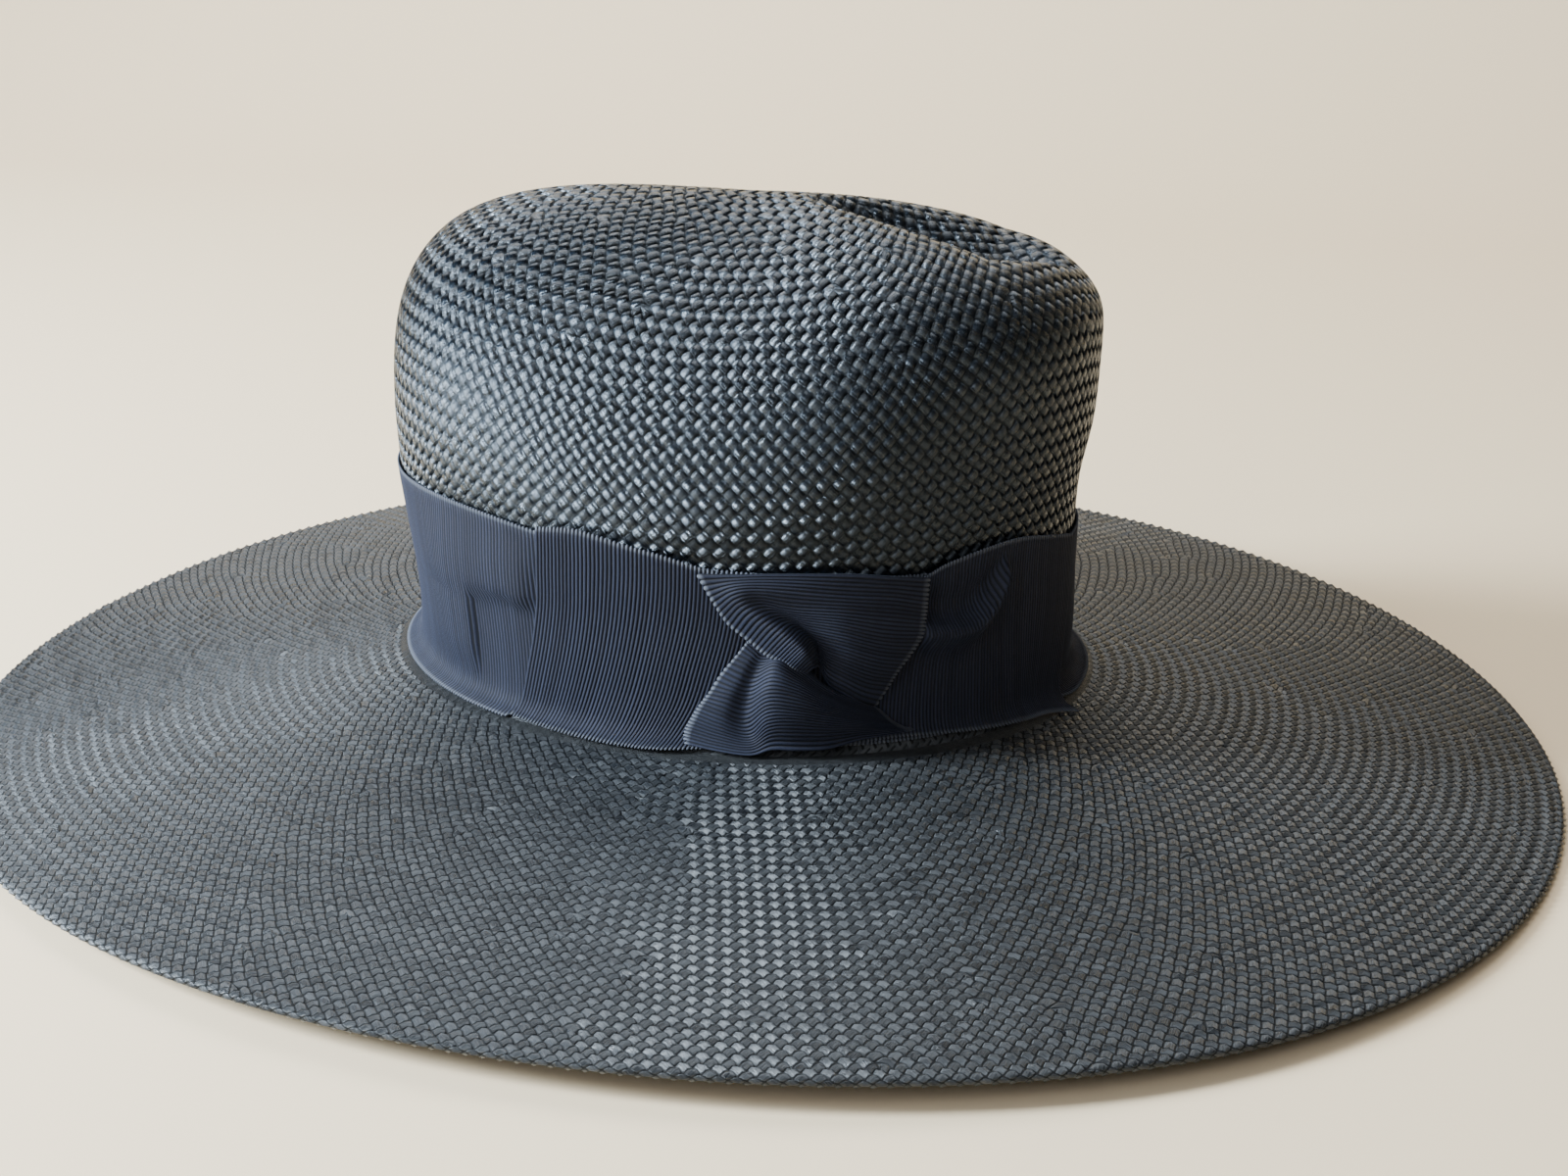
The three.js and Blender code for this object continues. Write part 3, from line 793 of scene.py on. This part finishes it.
def ribbon(name, place, length, across_steps, rib_steps=6, loop=False):
    """A closed thin sheet. place(run, across, lift) gives its points, for shares along
    the ribbon and across it, raised by lift."""
    ribs = round(length / RIB)
    count = ribs * rib_steps
    run = np.arange(count if loop else count + 1)[:, None] / count
    across = np.linspace(0, 1, across_steps + 1)[None, :]
    cord = np.abs(np.sin(math.pi * run * ribs)) ** RIB_SHARPNESS
    edge = np.abs(2 * across - 1) ** (across_steps * LOOP_NARROW)
    picot = across + (2 * across - 1) * edge * cord * LOOP_REACH / RIBBON_WIDTH
    grids = []
    for lift in (RIB_RELIEF * (cord - 1) + 0 * across, -CLOTH + 0 * run + 0 * across):
        grids.append(place(run + 0 * across, picot, lift))
    rows, columns = grids[0].shape[:2]
    number = np.arange(2 * rows * columns).reshape(2, rows, columns)
    faces = []

    def quads(a, b, c, d):
        faces.append(np.stack([a.ravel(), b.ravel(), c.ravel(), d.ravel()], 1))

    outer, inner = number
    if loop:
        outer, inner = (np.concatenate([grid, grid[:1]]) for grid in (outer, inner))
    quads(outer[:-1, :-1], outer[1:, :-1], outer[1:, 1:], outer[:-1, 1:])
    quads(inner[:-1, :-1], inner[:-1, 1:], inner[1:, 1:], inner[1:, :-1])
    quads(outer[:-1, 0], inner[:-1, 0], inner[1:, 0], outer[1:, 0])
    quads(outer[:-1, -1], outer[1:, -1], inner[1:, -1], inner[:-1, -1])
    if not loop:
        quads(outer[0, :-1], outer[0, 1:], inner[0, 1:], inner[0, :-1])
        quads(outer[-1, :-1], inner[-1, :-1], inner[-1, 1:], outer[-1, 1:])
    faces = np.concatenate(faces)
    shares = np.stack(np.broadcast_arrays(run * ribs, across * RIBBON_WIDTH / RIB), -1)
    flat = np.concatenate([shares.reshape(-1, 2)] * 2)
    return make_mesh(name, np.concatenate([g.reshape(-1, 3) for g in grids]), faces, flat[faces])


def ramp_up(value, start, length):
    """Goes from 0 to 1 after a start."""
    return smoothstep((value - start) / length)


def ramp_down(value, end, length):
    """Goes from 1 to 0 before an end."""
    return smoothstep((end - value) / length)


def band_place(run, across, lift):
    angle = run * FULL_TURN
    from_side = angle - 1.5 * math.pi
    low = BAND_LOW - BAND_LOW_TILT * (1 + np.cos(angle))
    tuck = BAND_TUCK * ramp_up(from_side, *TUCK_START)
    low = low + tuck * ramp_down(from_side, *TUCK_END)
    high = BAND_TOP - BAND_TILT * np.cos(angle) - BAND_NEAR_RISE * np.sin(angle)
    high = high + BAND_PUFF_RISE * np.exp(-(((from_side - RISE_PLACE) / RISE_SPREAD) ** 2))
    height = lerp(low, high, across)
    puff = band_puff(np.interp(angle - FULL_TURN, ARC_ANGLES, ARC_LENGTHS), height)
    return wrap_point(angle, height, BAND_OUT + lift + puff)


def band_puff(along, height):
    """How far the band is puffed out above its hollow and to the left of it."""
    near = ramp_up(along, *PUFF_START) * ramp_down(along, *PUFF_END)
    crease = CREASE_HEIGHT + CREASE_SLOPE * (along - CREASE_PLACE)
    above = ramp_up(height, crease, CREASE_RAMP) * ramp_down(height, *CREASE_TOP)
    left = ramp_down(along, *SLIT_END) * ramp_up(height, *SLIT_FOOT)
    left = left * ramp_down(height, crease + SLIT_OVERRUN, SLIT_TOP_RAMP)
    return near * (CREASE_PUFF * above + SLIT_PUFF * left)


def right_tail_puff(along, height):
    """How far the right tail stands out along its fold, with a trough above it."""
    past = along - FOLD_LOWEST
    fold = FOLD_HEIGHT + FOLD_BOW * past**2 + FOLD_CURL * np.maximum(past, 0) ** 3
    near = ramp_up(along, *FOLD_START) * ramp_down(along, *FOLD_END)
    near = near * ramp_down(height, *FOLD_TOP)
    slope = np.where(height > fold, FOLD_STEEP, FOLD_GENTLE)
    bulge = FOLD_RISE * np.exp(-(((height - fold) / slope) ** 2))
    trough = TROUGH_DEPTH * np.exp(-(((height - fold - TROUGH_ABOVE) / TROUGH_SPREAD) ** 2))
    return near * (bulge - trough)


# The tails: each row is a rib from the lower edge to the upper, from left to right. It
# holds lengths along the wall, heights on it, and distances out from it.
LEFT_TAIL = [
    [(-47.6, 2.4, 3.2), (-46.6, 8, 2.7), (-44.8, 16, 2.5), (-42, 26, 2.5),
     (-39.3, 38, 2.5), (-37.8, 49, 2.6), (-36.8, 58.9, 3)],
    [(-36.5, 2.1, 3.3), (-34.8, 8, 2.6), (-32.4, 16, 2.5), (-29.7, 26, 2.5),
     (-27.3, 38, 2.5), (-26, 49, 2.6), (-25.3, 60.2, 2.9)],
    [(-25, 1.8, 3.4), (-22.8, 8, 2.7), (-20.2, 16, 2.5), (-17.4, 26, 2.5),
     (-15, 38, 2.5), (-13.6, 48, 2.6), (-13, 58.3, 2.8)],
    [(-13.5, 1.7, 3.9), (-10.8, 7, 3.4), (-8, 15, 2.6), (-5.1, 26, 2.5),
     (-2.7, 37, 2.5), (-1.5, 46, 2.6), (-1, 55.9, 2.8)],
    [(-3, 1.9, 4.3), (-0.2, 6, 3.3), (3.6, 14, 2.4), (6.6, 25, 2.4),
     (9, 35, 2.5), (10, 43, 2.5), (10.5, 52.6, 2.6)],
    [(9, 2.4, 2.3), (12, 7.5, 2.1), (15.6, 15, 2.1), (18.5, 24, 2.1),
     (20.5, 33, 2.1), (21.5, 41, 2.1), (22, 49.5, 2.2)],
]
RIGHT_TAIL = [
    [(30, 3.5, 2.2), (30, 11, 2.1), (30, 20, 2.1), (30, 30, 2.1), (30, 40, 2.1), (30, 48, 2.1)],
    [(46, 3.5, 2.3), (46, 11, 2.2), (46, 20, 2.2), (46, 30, 2.2), (46, 40, 2.2), (46, 48, 2.2)],
    [(60.5, 4.2, 2.6), (60.5, 11, 2.3), (61, 20, 2.3), (62, 30, 2.3), (63, 40, 2.4), (64, 48, 2.3)],
    [(74.5, 3.6, 3), (74, 11, 2.6), (74, 21, 2.6), (74.5, 31, 2.8), (74.5, 42, 3.2), (73.6, 52, 3)],
    [(88, 2.6, 3.2), (87.6, 11, 2.8), (87.4, 21, 2.6), (87.2, 32, 2.7), (87, 44, 3), (86.8, 54.2, 2.9)],
    [(102, 1.6, 3.1), (101, 10, 2.8), (100.4, 20, 2.6),
     (100, 32, 2.6), (99.8, 44, 2.7), (99.6, 54.2, 2.7)],
    [(110, 1.5, 4.4), (111, 9, 3), (113, 20, 2.6), (114.6, 31, 2.5), (114.2, 42, 2.5), (114, 51.2, 2.5)],
    [(118.5, 0.3, 5.8), (121.5, 6.5, 4.4), (127, 17, 2.8),
     (130.6, 29, 2.5), (130.9, 38, 2.5), (131, 47, 2.5)],
]
# The knot's folds: each row is a rib, from the left selvedge to the right, and holds
# lengths along the wall, heights on it, and distances out from it.
UPPER_LOOP = [
    [(7.5, 52.5, 3.2), (16.5, 53, 3.6), (25.5, 53.5, 3.8), (36, 53.5, 4),
     (46.5, 53, 4.2), (57, 51.5, 4.6), (66.5, 50, 4.6)],
    [(11, 45, 3.2), (16, 49, 5), (22, 50, 5.2), (31.5, 49.5, 5.5),
     (44.5, 48, 5.8), (56.5, 46.5, 6), (66, 44, 5.6)],
    [(15, 38.5, 3.2), (18.5, 44, 5.5), (23, 45.5, 4.6), (31, 44, 5),
     (43.5, 43.5, 7), (56, 41.5, 7.2), (65.5, 39, 6.2)],
    [(20.5, 34, 3.8), (24, 40, 6.6), (28, 41.5, 4.4), (34.5, 40, 4.6),
     (44, 39, 7), (55, 36, 7.4), (65, 34, 6.2)],
    [(25, 30.5, 5), (29, 37, 8.2), (32.5, 38.5, 4.6), (37, 36, 4.6),
     (45.5, 34, 6.8), (54.5, 31, 7), (62.5, 29, 5.8)],
    [(29, 29, 6.4), (32.5, 34.5, 9.2), (36, 35.5, 4.8), (40, 31, 3.8),
     (46, 29, 6.4), (53.2, 26, 6.4), (59.6, 24, 5)],
    [(32, 27, 6.8), (35, 32, 9.4), (38, 31.5, 3.4), (41, 26.5, 3.2),
     (46, 24, 5.6), (51.5, 21, 5.2), (57.5, 19, 3.8)],
    [(35, 24.5, 5.4), (37.5, 27, 6.4), (39.5, 25, 2.6), (42, 20, 3.2),
     (46.5, 17, 4), (50.5, 14, 3.4), (54, 12, 2.6)],
]
LOWER_LOOP = [
    [(20.5, 34, 3.4), (22.5, 33.5, 3.4), (25.5, 32.5, 3.4), (30, 31.5, 3.6),
     (35, 28.5, 3.6), (40, 21, 3.6), (47, 16.5, 3.6), (54.5, 12.5, 3)],
    [(20, 33, 3.5), (22.2, 31.2, 3.8), (24.5, 29.5, 4), (29.5, 30, 5),
     (34, 27, 5.6), (40, 21.8, 5.6), (47, 17, 5), (55, 13, 3.2)],
    [(17, 28.5, 3.4), (20, 27.5, 4.2), (23, 26, 4.2), (27.5, 29, 7),
     (33, 25.5, 7.2), (40, 20, 6.8), (47.5, 15.5, 5.6), (56.5, 11.5, 3.2)],
    [(13.5, 23.5, 3.4), (17.5, 22, 4.4), (21.5, 21, 4.2), (26.5, 25.5, 8.2),
     (32.5, 23.5, 8.6), (39.5, 19, 7.8), (47.5, 14.5, 6.2), (58, 10, 3.2)],
    [(10.5, 18, 3.4), (15.5, 17.5, 4.6), (20.5, 16, 4.2), (25.5, 21, 8.6),
     (32, 20.5, 9.2), (39.5, 17, 8.4), (48, 13, 6.4), (59.5, 8.5, 3.2)],
    [(8, 14, 3.4), (14, 12.5, 4.6), (20, 10.5, 4.2), (25.5, 16.5, 8.4),
     (32, 16.5, 9.2), (40, 14.5, 8.4), (48.5, 11.5, 6.4), (61, 7.5, 3.2)],
    [(6, 10, 3.4), (13.5, 8, 4.4), (21, 6.5, 4.4), (25.5, 12, 7.8),
     (32, 13, 8.6), (40, 11.5, 7.8), (49.5, 9.5, 6), (62.5, 6.5, 3.2)],
    [(4.4, 6.2, 3.3), (13.5, 4.6, 4), (21.5, 4, 4.4), (26.5, 8, 6.8),
     (32.5, 8.5, 7.4), (41, 8, 6.8), (50.5, 7.5, 5.2), (64, 6, 3.2)],
    [(4.2, 2.8, 3.2), (13, 1.9, 3.5), (21.5, 1.5, 3.8), (27, 3, 5),
     (33, 3, 5.4), (41.5, 3, 5), (51.5, 4.5, 4), (65, 5, 3)],
]


# Materials


class Nodes:
    """Short ways to add shader nodes to one material."""

    def __init__(self, name):
        self.material = bpy.data.materials.new(name)
        self.material.use_nodes = True
        self.tree = self.material.node_tree
        self.shader = self.tree.nodes["Principled BSDF"]

    def node(self, kind):
        return self.tree.nodes.new("ShaderNode" + kind)

    def put(self, value, socket):
        """Gives a socket a fixed value, or the value of another node's output."""
        if isinstance(value, bpy.types.NodeSocket):
            self.tree.links.new(value, socket)
        else:
            socket.default_value = value

    def fill(self, node, *values):
        """Feeds a node's inputs in their order, and returns its first output."""
        for value, socket in zip(values, node.inputs):
            self.put(value, socket)
        return node.outputs[0]

    def math(self, operation, *values):
        node = self.node("Math")
        node.operation = operation
        return self.fill(node, *values)

    def plus(self, a, b):
        return self.math("ADD", a, b)

    def minus(self, a, b):
        return self.math("SUBTRACT", a, b)

    def times(self, a, b):
        return self.math("MULTIPLY", a, b)

    def weave(self):
        """The two coordinates of the UV map that every piece of the hat has."""
        uv = self.node("UVMap")
        uv.uv_map = "weave"
        split = self.node("SeparateXYZ")
        self.put(uv.outputs[0], split.inputs[0])
        return split.outputs[0], split.outputs[1]

    def bump(self, height, strength, distance):
        """Bump that is distance millimetres high."""
        node = self.node("Bump")
        node.inputs["Strength"].default_value = strength
        node.inputs["Distance"].default_value = distance * MM
        self.put(height, node.inputs["Height"])
        self.put(node.outputs[0], self.shader.inputs["Normal"])

    def settings(self, values):
        """Sets sockets of the shader to numbers or colours."""
        for key, value in values.items():
            self.shader.inputs[key].default_value = value

    def cross(self, a, b):
        node = self.node("VectorMath")
        node.operation = "CROSS_PRODUCT"
        return self.fill(node, a, b)

    def combine(self, x, y, z):
        return self.fill(self.node("CombineXYZ"), x, y, z)

    def noise(self, vector, detail, rough):
        node = self.node("TexNoise")
        for key, value in (("Scale", 1.0), ("Detail", detail), ("Roughness", rough)):
            node.inputs[key].default_value = value
        self.put(vector, node.inputs["Vector"])
        return node.outputs["Fac"]

    def chance(self, vector):
        node = self.node("TexWhiteNoise")
        self.put(vector, node.inputs["Vector"])
        return node.outputs["Value"]

    def remap(self, value, low, high, to_low=0.0, to_high=1.0, smooth=False):
        node = self.node("MapRange")
        if smooth:
            node.interpolation_type = "SMOOTHSTEP"
        return self.fill(node, value, low, high, to_low, to_high)

    def mix(self, share, a, b, kind="RGBA"):
        """Mixes two colours or vectors. Each kind has sockets of its own in the node."""
        node = self.node("Mix")
        node.data_type = kind
        first, result = (6, 2) if kind == "RGBA" else (4, 1)
        for value, key in ((share, 0), (a, first), (b, first + 1)):
            self.put(value, node.inputs[key])
        return node.outputs[result]


# Straw: distances within a crossing are shares of its width, from its middle.
FAMILY_SHIFT = 57.3
CROSSING_SEED = 0.5
KIND_SEED = (3.1, 8.7)
# Spans of the gaps and holes between strands, where shade is painted into the colour.
GAP_WANDER = 0.22
SIDE_GAP = (0.33, 0.45)
END_GAP = (0.42, 0.5)
END_DARKNESS = 0.7
HOLE_SIDE = (0.28, 0.48)
HOLE_END = (0.34, 0.5)
HOLE_DARKNESS = (0.05, 0.3)
TONE_SPAN = (0.0, 0.75)
OWN_TONE = 0.35
KIND_TONE = 0.3
FIBRE_TONE = 1.1
FINE_TONE = 0.7
GLOSS_SPAN = (0.3, 1.2)
GLOSSIER = 0.08
DULLER = 0.12
GAP_ROUGHNESS = 0.55
STRAND_ARCH = -0.6
FIBRE_BUMP = 0.8
FINE_BUMP = 0.35
GAP_BUMP = 0.5
CROWN_LOOKS = {
    "dark": (0.0006, 0.001, 0.002, 1),
    "light": (0.0055, 0.0085, 0.013, 1),
    "gap_shade": (0.0004, 0.0005, 0.0006, 1),
    "rough": 0.25,
    "ior": 1.75,
    "shine": (0.72, 0.85, 1.0, 1),
}
BRIM_LOOKS = {
    "dark": (0.0095, 0.0115, 0.0145, 1),
    "light": (0.077, 0.085, 0.094, 1),
    "gap_shade": (0.001, 0.0013, 0.0017, 1),
    "rough": 0.31,
    "ior": 1.5,
    "shine": (0.86, 0.93, 1.0, 1),
}


def straw_material(name, dark, light, gap_shade, rough, ior, shine):
    """Plaited straw, with painted shade in the gaps and holes between its strands. Its UV map holds the
    two strand directions, one crossing per unit.
    """
    n = Nodes(name)
    u, v = n.weave()
    cell_u, cell_v = n.math("ROUND", u), n.math("ROUND", v)
    du, dv = n.minus(u, cell_u), n.minus(v, cell_v)
    second = n.math("FLOORED_MODULO", n.plus(cell_u, cell_v), 2.0)
    first = n.minus(1.0, second)

    def pick(a, b):
        """a where a strand of the first direction lies on top, b where one of the second does."""
        return n.plus(n.times(a, first), n.times(b, second))

    along, across, run = pick(du, dv), pick(dv, du), pick(u, v)
    strand = n.plus(pick(cell_v, cell_u), n.times(second, FAMILY_SHIFT))
    own = n.chance(n.combine(cell_u, cell_v, CROSSING_SEED))
    kind = n.chance(n.combine(strand, *KIND_SEED))

    def grain(stretch, streaks, detail, roughness):
        """Noise drawn out along the strand, as its fibres are."""
        place = n.combine(n.times(run, stretch), n.times(across, streaks), strand)
        return n.noise(place, detail, roughness)

    fibre = grain(stretch=0.3, streaks=11.0, detail=3.0, roughness=0.65)
    fine = grain(stretch=0.5, streaks=26.0, detail=2.0, roughness=0.6)

    # Painted shade: the gaps beside and at the ends of each strand, and the holes at its corners, take
    # the dark gap colour.
    side, end = n.math("ABSOLUTE", across), n.math("ABSOLUTE", along)
    wander = n.times(n.minus(fibre, 0.5), GAP_WANDER)
    side_gap = n.remap(n.plus(side, wander), *SIDE_GAP, smooth=True)
    end_gap = n.remap(n.plus(end, n.times(wander, 0.5)), *END_GAP, smooth=True)
    hole = n.times(n.remap(side, *HOLE_SIDE), n.remap(end, *HOLE_END))
    shaded_gap_mask = n.math("MAXIMUM", side_gap, n.times(end_gap, END_DARKNESS))
    shaded_gap_mask = n.math("MAXIMUM", shaded_gap_mask, n.remap(hole, *HOLE_DARKNESS))

    tone = n.plus(n.times(own, OWN_TONE), n.times(kind, KIND_TONE))
    tone = n.plus(tone, n.times(n.minus(fibre, 0.5), FIBRE_TONE))
    tone = n.plus(tone, n.times(n.minus(fine, 0.5), FINE_TONE))
    colour = n.mix(n.remap(tone, *TONE_SPAN), dark, light)
    n.put(n.mix(shaded_gap_mask, colour, gap_shade), n.shader.inputs["Base Color"])
    gloss = n.plus(fine, n.times(own, 0.5))
    roughness = n.remap(gloss, *GLOSS_SPAN, rough - GLOSSIER, rough + DULLER)
    roughness = n.plus(roughness, n.times(shaded_gap_mask, GAP_ROUGHNESS))
    n.put(roughness, n.shader.inputs["Roughness"])
    n.settings({"IOR": ior, "Specular Tint": shine, "Anisotropic": 1.0})

    # Highlights are drawn out across the fibres, so the tangent lies across each strand.
    tangent = n.node("Tangent")
    tangent.direction_type = "UV_MAP"
    tangent.uv_map = "weave"
    normal = n.node("NewGeometry").outputs["Normal"]
    turned = n.cross(normal, tangent.outputs[0])
    n.put(n.mix(second, turned, tangent.outputs[0], "VECTOR"), n.shader.inputs["Tangent"])

    height = n.plus(n.times(n.times(across, across), STRAND_ARCH), n.times(fibre, FIBRE_BUMP))
    height = n.plus(height, n.times(fine, FINE_BUMP))
    height = n.minus(height, n.times(shaded_gap_mask, GAP_BUMP))
    n.bump(height, strength=0.9, distance=0.3)
    return n.material


# Ribbon cloth: the UV map counts ribs along the ribbon, and the same distance across it.
CLOTH_DARK = (0.005, 0.0075, 0.019, 1)
CLOTH_LIGHT = (0.017, 0.0235, 0.05, 1)
CLOTH_VALLEY_SHADE = (0.002, 0.0035, 0.009, 1)
CLOTH_SELVEDGE = (0.13, 0.15, 0.19, 1)
THREAD_SCALE = (1.5, 5.0)
FLECK_SCALE = (0.9, 1.3)
FLECK_SEED = 4.2
RIB_SEED = 1.7
THREAD_TONE = 0.5
RIB_TONE = 0.25
FLECK_TONE = 0.3
FLECK_BUMP = 0.5
CLOTH_TONE_SPAN = (0.25, 0.75)
VALLEY_SHADE_SPAN = (0.35, 0.92)
SELVEDGE_START = 0.9
SELVEDGE_END = 0.3
SELVEDGE_SHARE = 0.6


def ribbon_material():
    """Matt silky ribbon, with painted shade in the valleys between its ribs, and paler at its edges."""
    n = Nodes("grosgrain_cloth")
    u, v = n.weave()
    cord = n.math("ABSOLUTE", n.math("SINE", n.times(u, math.pi)))
    rib = n.math("FLOOR", u)
    thread_at = n.combine(n.times(u, THREAD_SCALE[0]), n.times(v, THREAD_SCALE[1]), rib)
    thread = n.noise(thread_at, detail=2.0, rough=0.6)
    fleck_at = n.combine(n.times(u, FLECK_SCALE[0]), n.times(v, FLECK_SCALE[1]), FLECK_SEED)
    fleck = n.noise(fleck_at, detail=4.0, rough=0.7)
    own = n.chance(n.combine(rib, RIB_SEED, 0.0))
    tone = n.plus(n.times(thread, THREAD_TONE), n.times(own, RIB_TONE))
    tone = n.plus(tone, n.times(fleck, FLECK_TONE))
    colour = n.mix(n.remap(tone, *CLOTH_TONE_SPAN), CLOTH_DARK, CLOTH_LIGHT)
    # Painted shade: the valleys between the ribs are darkened towards the valley colour.
    valley_shade = n.remap(cord, *VALLEY_SHADE_SPAN, 1.0, 0.0, smooth=True)
    colour = n.mix(valley_shade, colour, CLOTH_VALLEY_SHADE)
    half = RIBBON_WIDTH / RIB / 2
    from_middle = n.math("ABSOLUTE", n.minus(v, half))
    selvedge = n.remap(from_middle, half - SELVEDGE_START, half - SELVEDGE_END, 0.0, SELVEDGE_SHARE)
    n.put(n.mix(n.times(selvedge, cord), colour, CLOTH_SELVEDGE), n.shader.inputs["Base Color"])
    n.settings({
        "Roughness": 0.75,
        "Specular IOR Level": 0.3,
        "Sheen Weight": 0.06,
        "Sheen Roughness": 0.4,
        "Sheen Tint": (0.6, 0.72, 1.0, 1),
    })
    n.bump(n.plus(thread, n.times(fleck, FLECK_BUMP)), strength=0.5, distance=0.12)
    return n.material


# Stage, light and camera


def point_at(thing, place, target):
    """Puts a light or camera at a place and turns it to a target, in millimetres."""
    away = Vector(place) - Vector(target)
    thing.location = Vector(place) * MM
    thing.rotation_euler = away.to_track_quat("Z", "Y").to_euler()


LIGHT_TARGET = (0, 0, 60)
LIGHTS = [
    {"name": "window", "place": (-1190, -560, 640), "size": (0.3, 0.5),
     "watts": 78, "colour": (0.84, 0.93, 1.0)},
    {"name": "left_sky", "place": (-1250, -40, 560), "size": (0.5, 0.7),
     "watts": 3, "colour": (0.4, 0.66, 1.0)},
    {"name": "front", "place": (-700, -1150, 760), "size": (1.2, 1.0),
     "watts": 11, "colour": (0.97, 0.98, 1.0)},
    {"name": "room", "place": (350, -1500, 1400), "size": (1.6, 1.2),
     "watts": 3, "colour": (1.0, 0.97, 0.94)},
    {"name": "sky", "place": (-500, 900, 1500), "size": (1.4, 1.2),
     "watts": 25, "colour": (0.98, 0.99, 1.0)},
]
AIR_COLOUR = (1.0, 0.97, 0.93, 1)
AIR_STRENGTH = 0.07


def add_light(name, place, size, watts, colour):
    """Adds a soft light. Its size is in metres."""
    light = bpy.data.lights.new(name, "AREA")
    light.shape = "RECTANGLE"
    light.size, light.size_y = size
    light.energy = watts
    light.color = colour
    point_at(add_object(name, light), place, LIGHT_TARGET)


def add_air():
    """A weak even light from all sides."""
    world = bpy.data.worlds.new("air")
    world.use_nodes = True
    background = world.node_tree.nodes["Background"]
    background.inputs["Color"].default_value = AIR_COLOUR
    background.inputs["Strength"].default_value = AIR_STRENGTH
    bpy.context.scene.world = world


STAGE_REACH = 2600
STAGE_WALL = 1500
STAGE_TOP = 2400
STAGE_BEND = 700
BEND_STEPS = 16
STAGE_COLOUR = (0.96, 0.79, 0.55, 1)
STAGE_ROUGHNESS = 0.75


def make_stage():
    """A pale floor that curves up into a wall behind the hat."""
    bend_from = STAGE_WALL - STAGE_BEND
    line = [(-STAGE_REACH, 0.0), (bend_from, 0.0)]
    for k in range(1, BEND_STEPS + 1):
        turn = k / BEND_STEPS * math.pi / 2
        line.append((bend_from + STAGE_BEND * math.sin(turn), STAGE_BEND * (1 - math.cos(turn))))
    line.append((STAGE_WALL, STAGE_TOP))
    points = [(x, y, z) for y, z in line for x in (-STAGE_REACH, STAGE_REACH)]
    faces = [(2 * k, 2 * k + 1, 2 * k + 3, 2 * k + 2) for k in range(len(line) - 1)]
    stage = make_mesh("backdrop", points, faces)
    paint = Nodes("backdrop_paint")
    paint.settings({"Base Color": STAGE_COLOUR, "Roughness": STAGE_ROUGHNESS})
    stage.data.materials.append(paint.material)
    stage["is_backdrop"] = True


CAMERA_PLACE = (141.65, -649.4, 284.6)
CAMERA_TARGET = (7.05, 0, 42.8)
CAMERA_LENS = 54
CAMERA_SENSOR = 36
CAMERA_CLIP = 0.01
CAMERA_ROLL = math.radians(1.23)


def make_camera():
    data = bpy.data.cameras.new("camera")
    data.lens = CAMERA_LENS
    data.sensor_width = CAMERA_SENSOR
    data.clip_start = CAMERA_CLIP
    camera = add_object("camera", data)
    point_at(camera, CAMERA_PLACE, CAMERA_TARGET)
    turn = camera.rotation_euler.to_matrix() @ Matrix.Rotation(CAMERA_ROLL, 3, "Z")
    camera.rotation_euler = turn.to_euler()
    bpy.context.scene.camera = camera


def show(piece, node, material):
    """Puts a piece in the place of its CAD node."""
    piece.data.materials.append(material)
    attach(piece, "root")
    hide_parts(node)


show(make_crown(), "crown", straw_material("crown_straw_weave", **CROWN_LOOKS))
show(make_brim(), "brim", straw_material("brim_straw_weave", **BRIM_LOOKS))

cloth = ribbon_material()
band = ribbon("band", band_place, length=585, across_steps=22, rib_steps=4, loop=True)
left_tail = ribbon("left_tail", net_surface(LEFT_TAIL), length=62, across_steps=30)
right_tail_surface = net_surface(RIGHT_TAIL, right_tail_puff)
right_tail = ribbon("right_tail", right_tail_surface, length=101, across_steps=30)
upper_loop = ribbon("upper_loop", net_surface(UPPER_LOOP), length=38, across_steps=60)
lower_loop = ribbon("lower_loop", net_surface(LOWER_LOOP), length=36, across_steps=70)
nodes = ("ribbon_band", "ribbon_left_tail", "ribbon_right_tail", "knot_upper_loop", "knot_lower_loop")
for piece, node in zip((band, left_tail, right_tail, upper_loop, lower_loop), nodes):
    show(piece, node, cloth)

make_stage()
for light in LIGHTS:
    add_light(**light)
add_air()
make_camera()

visual_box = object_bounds()
boxes = {"cad": cad_box, "visual": visual_box}
plain = {name: [[float(x) for x in end] for end in box] for name, box in boxes.items()}
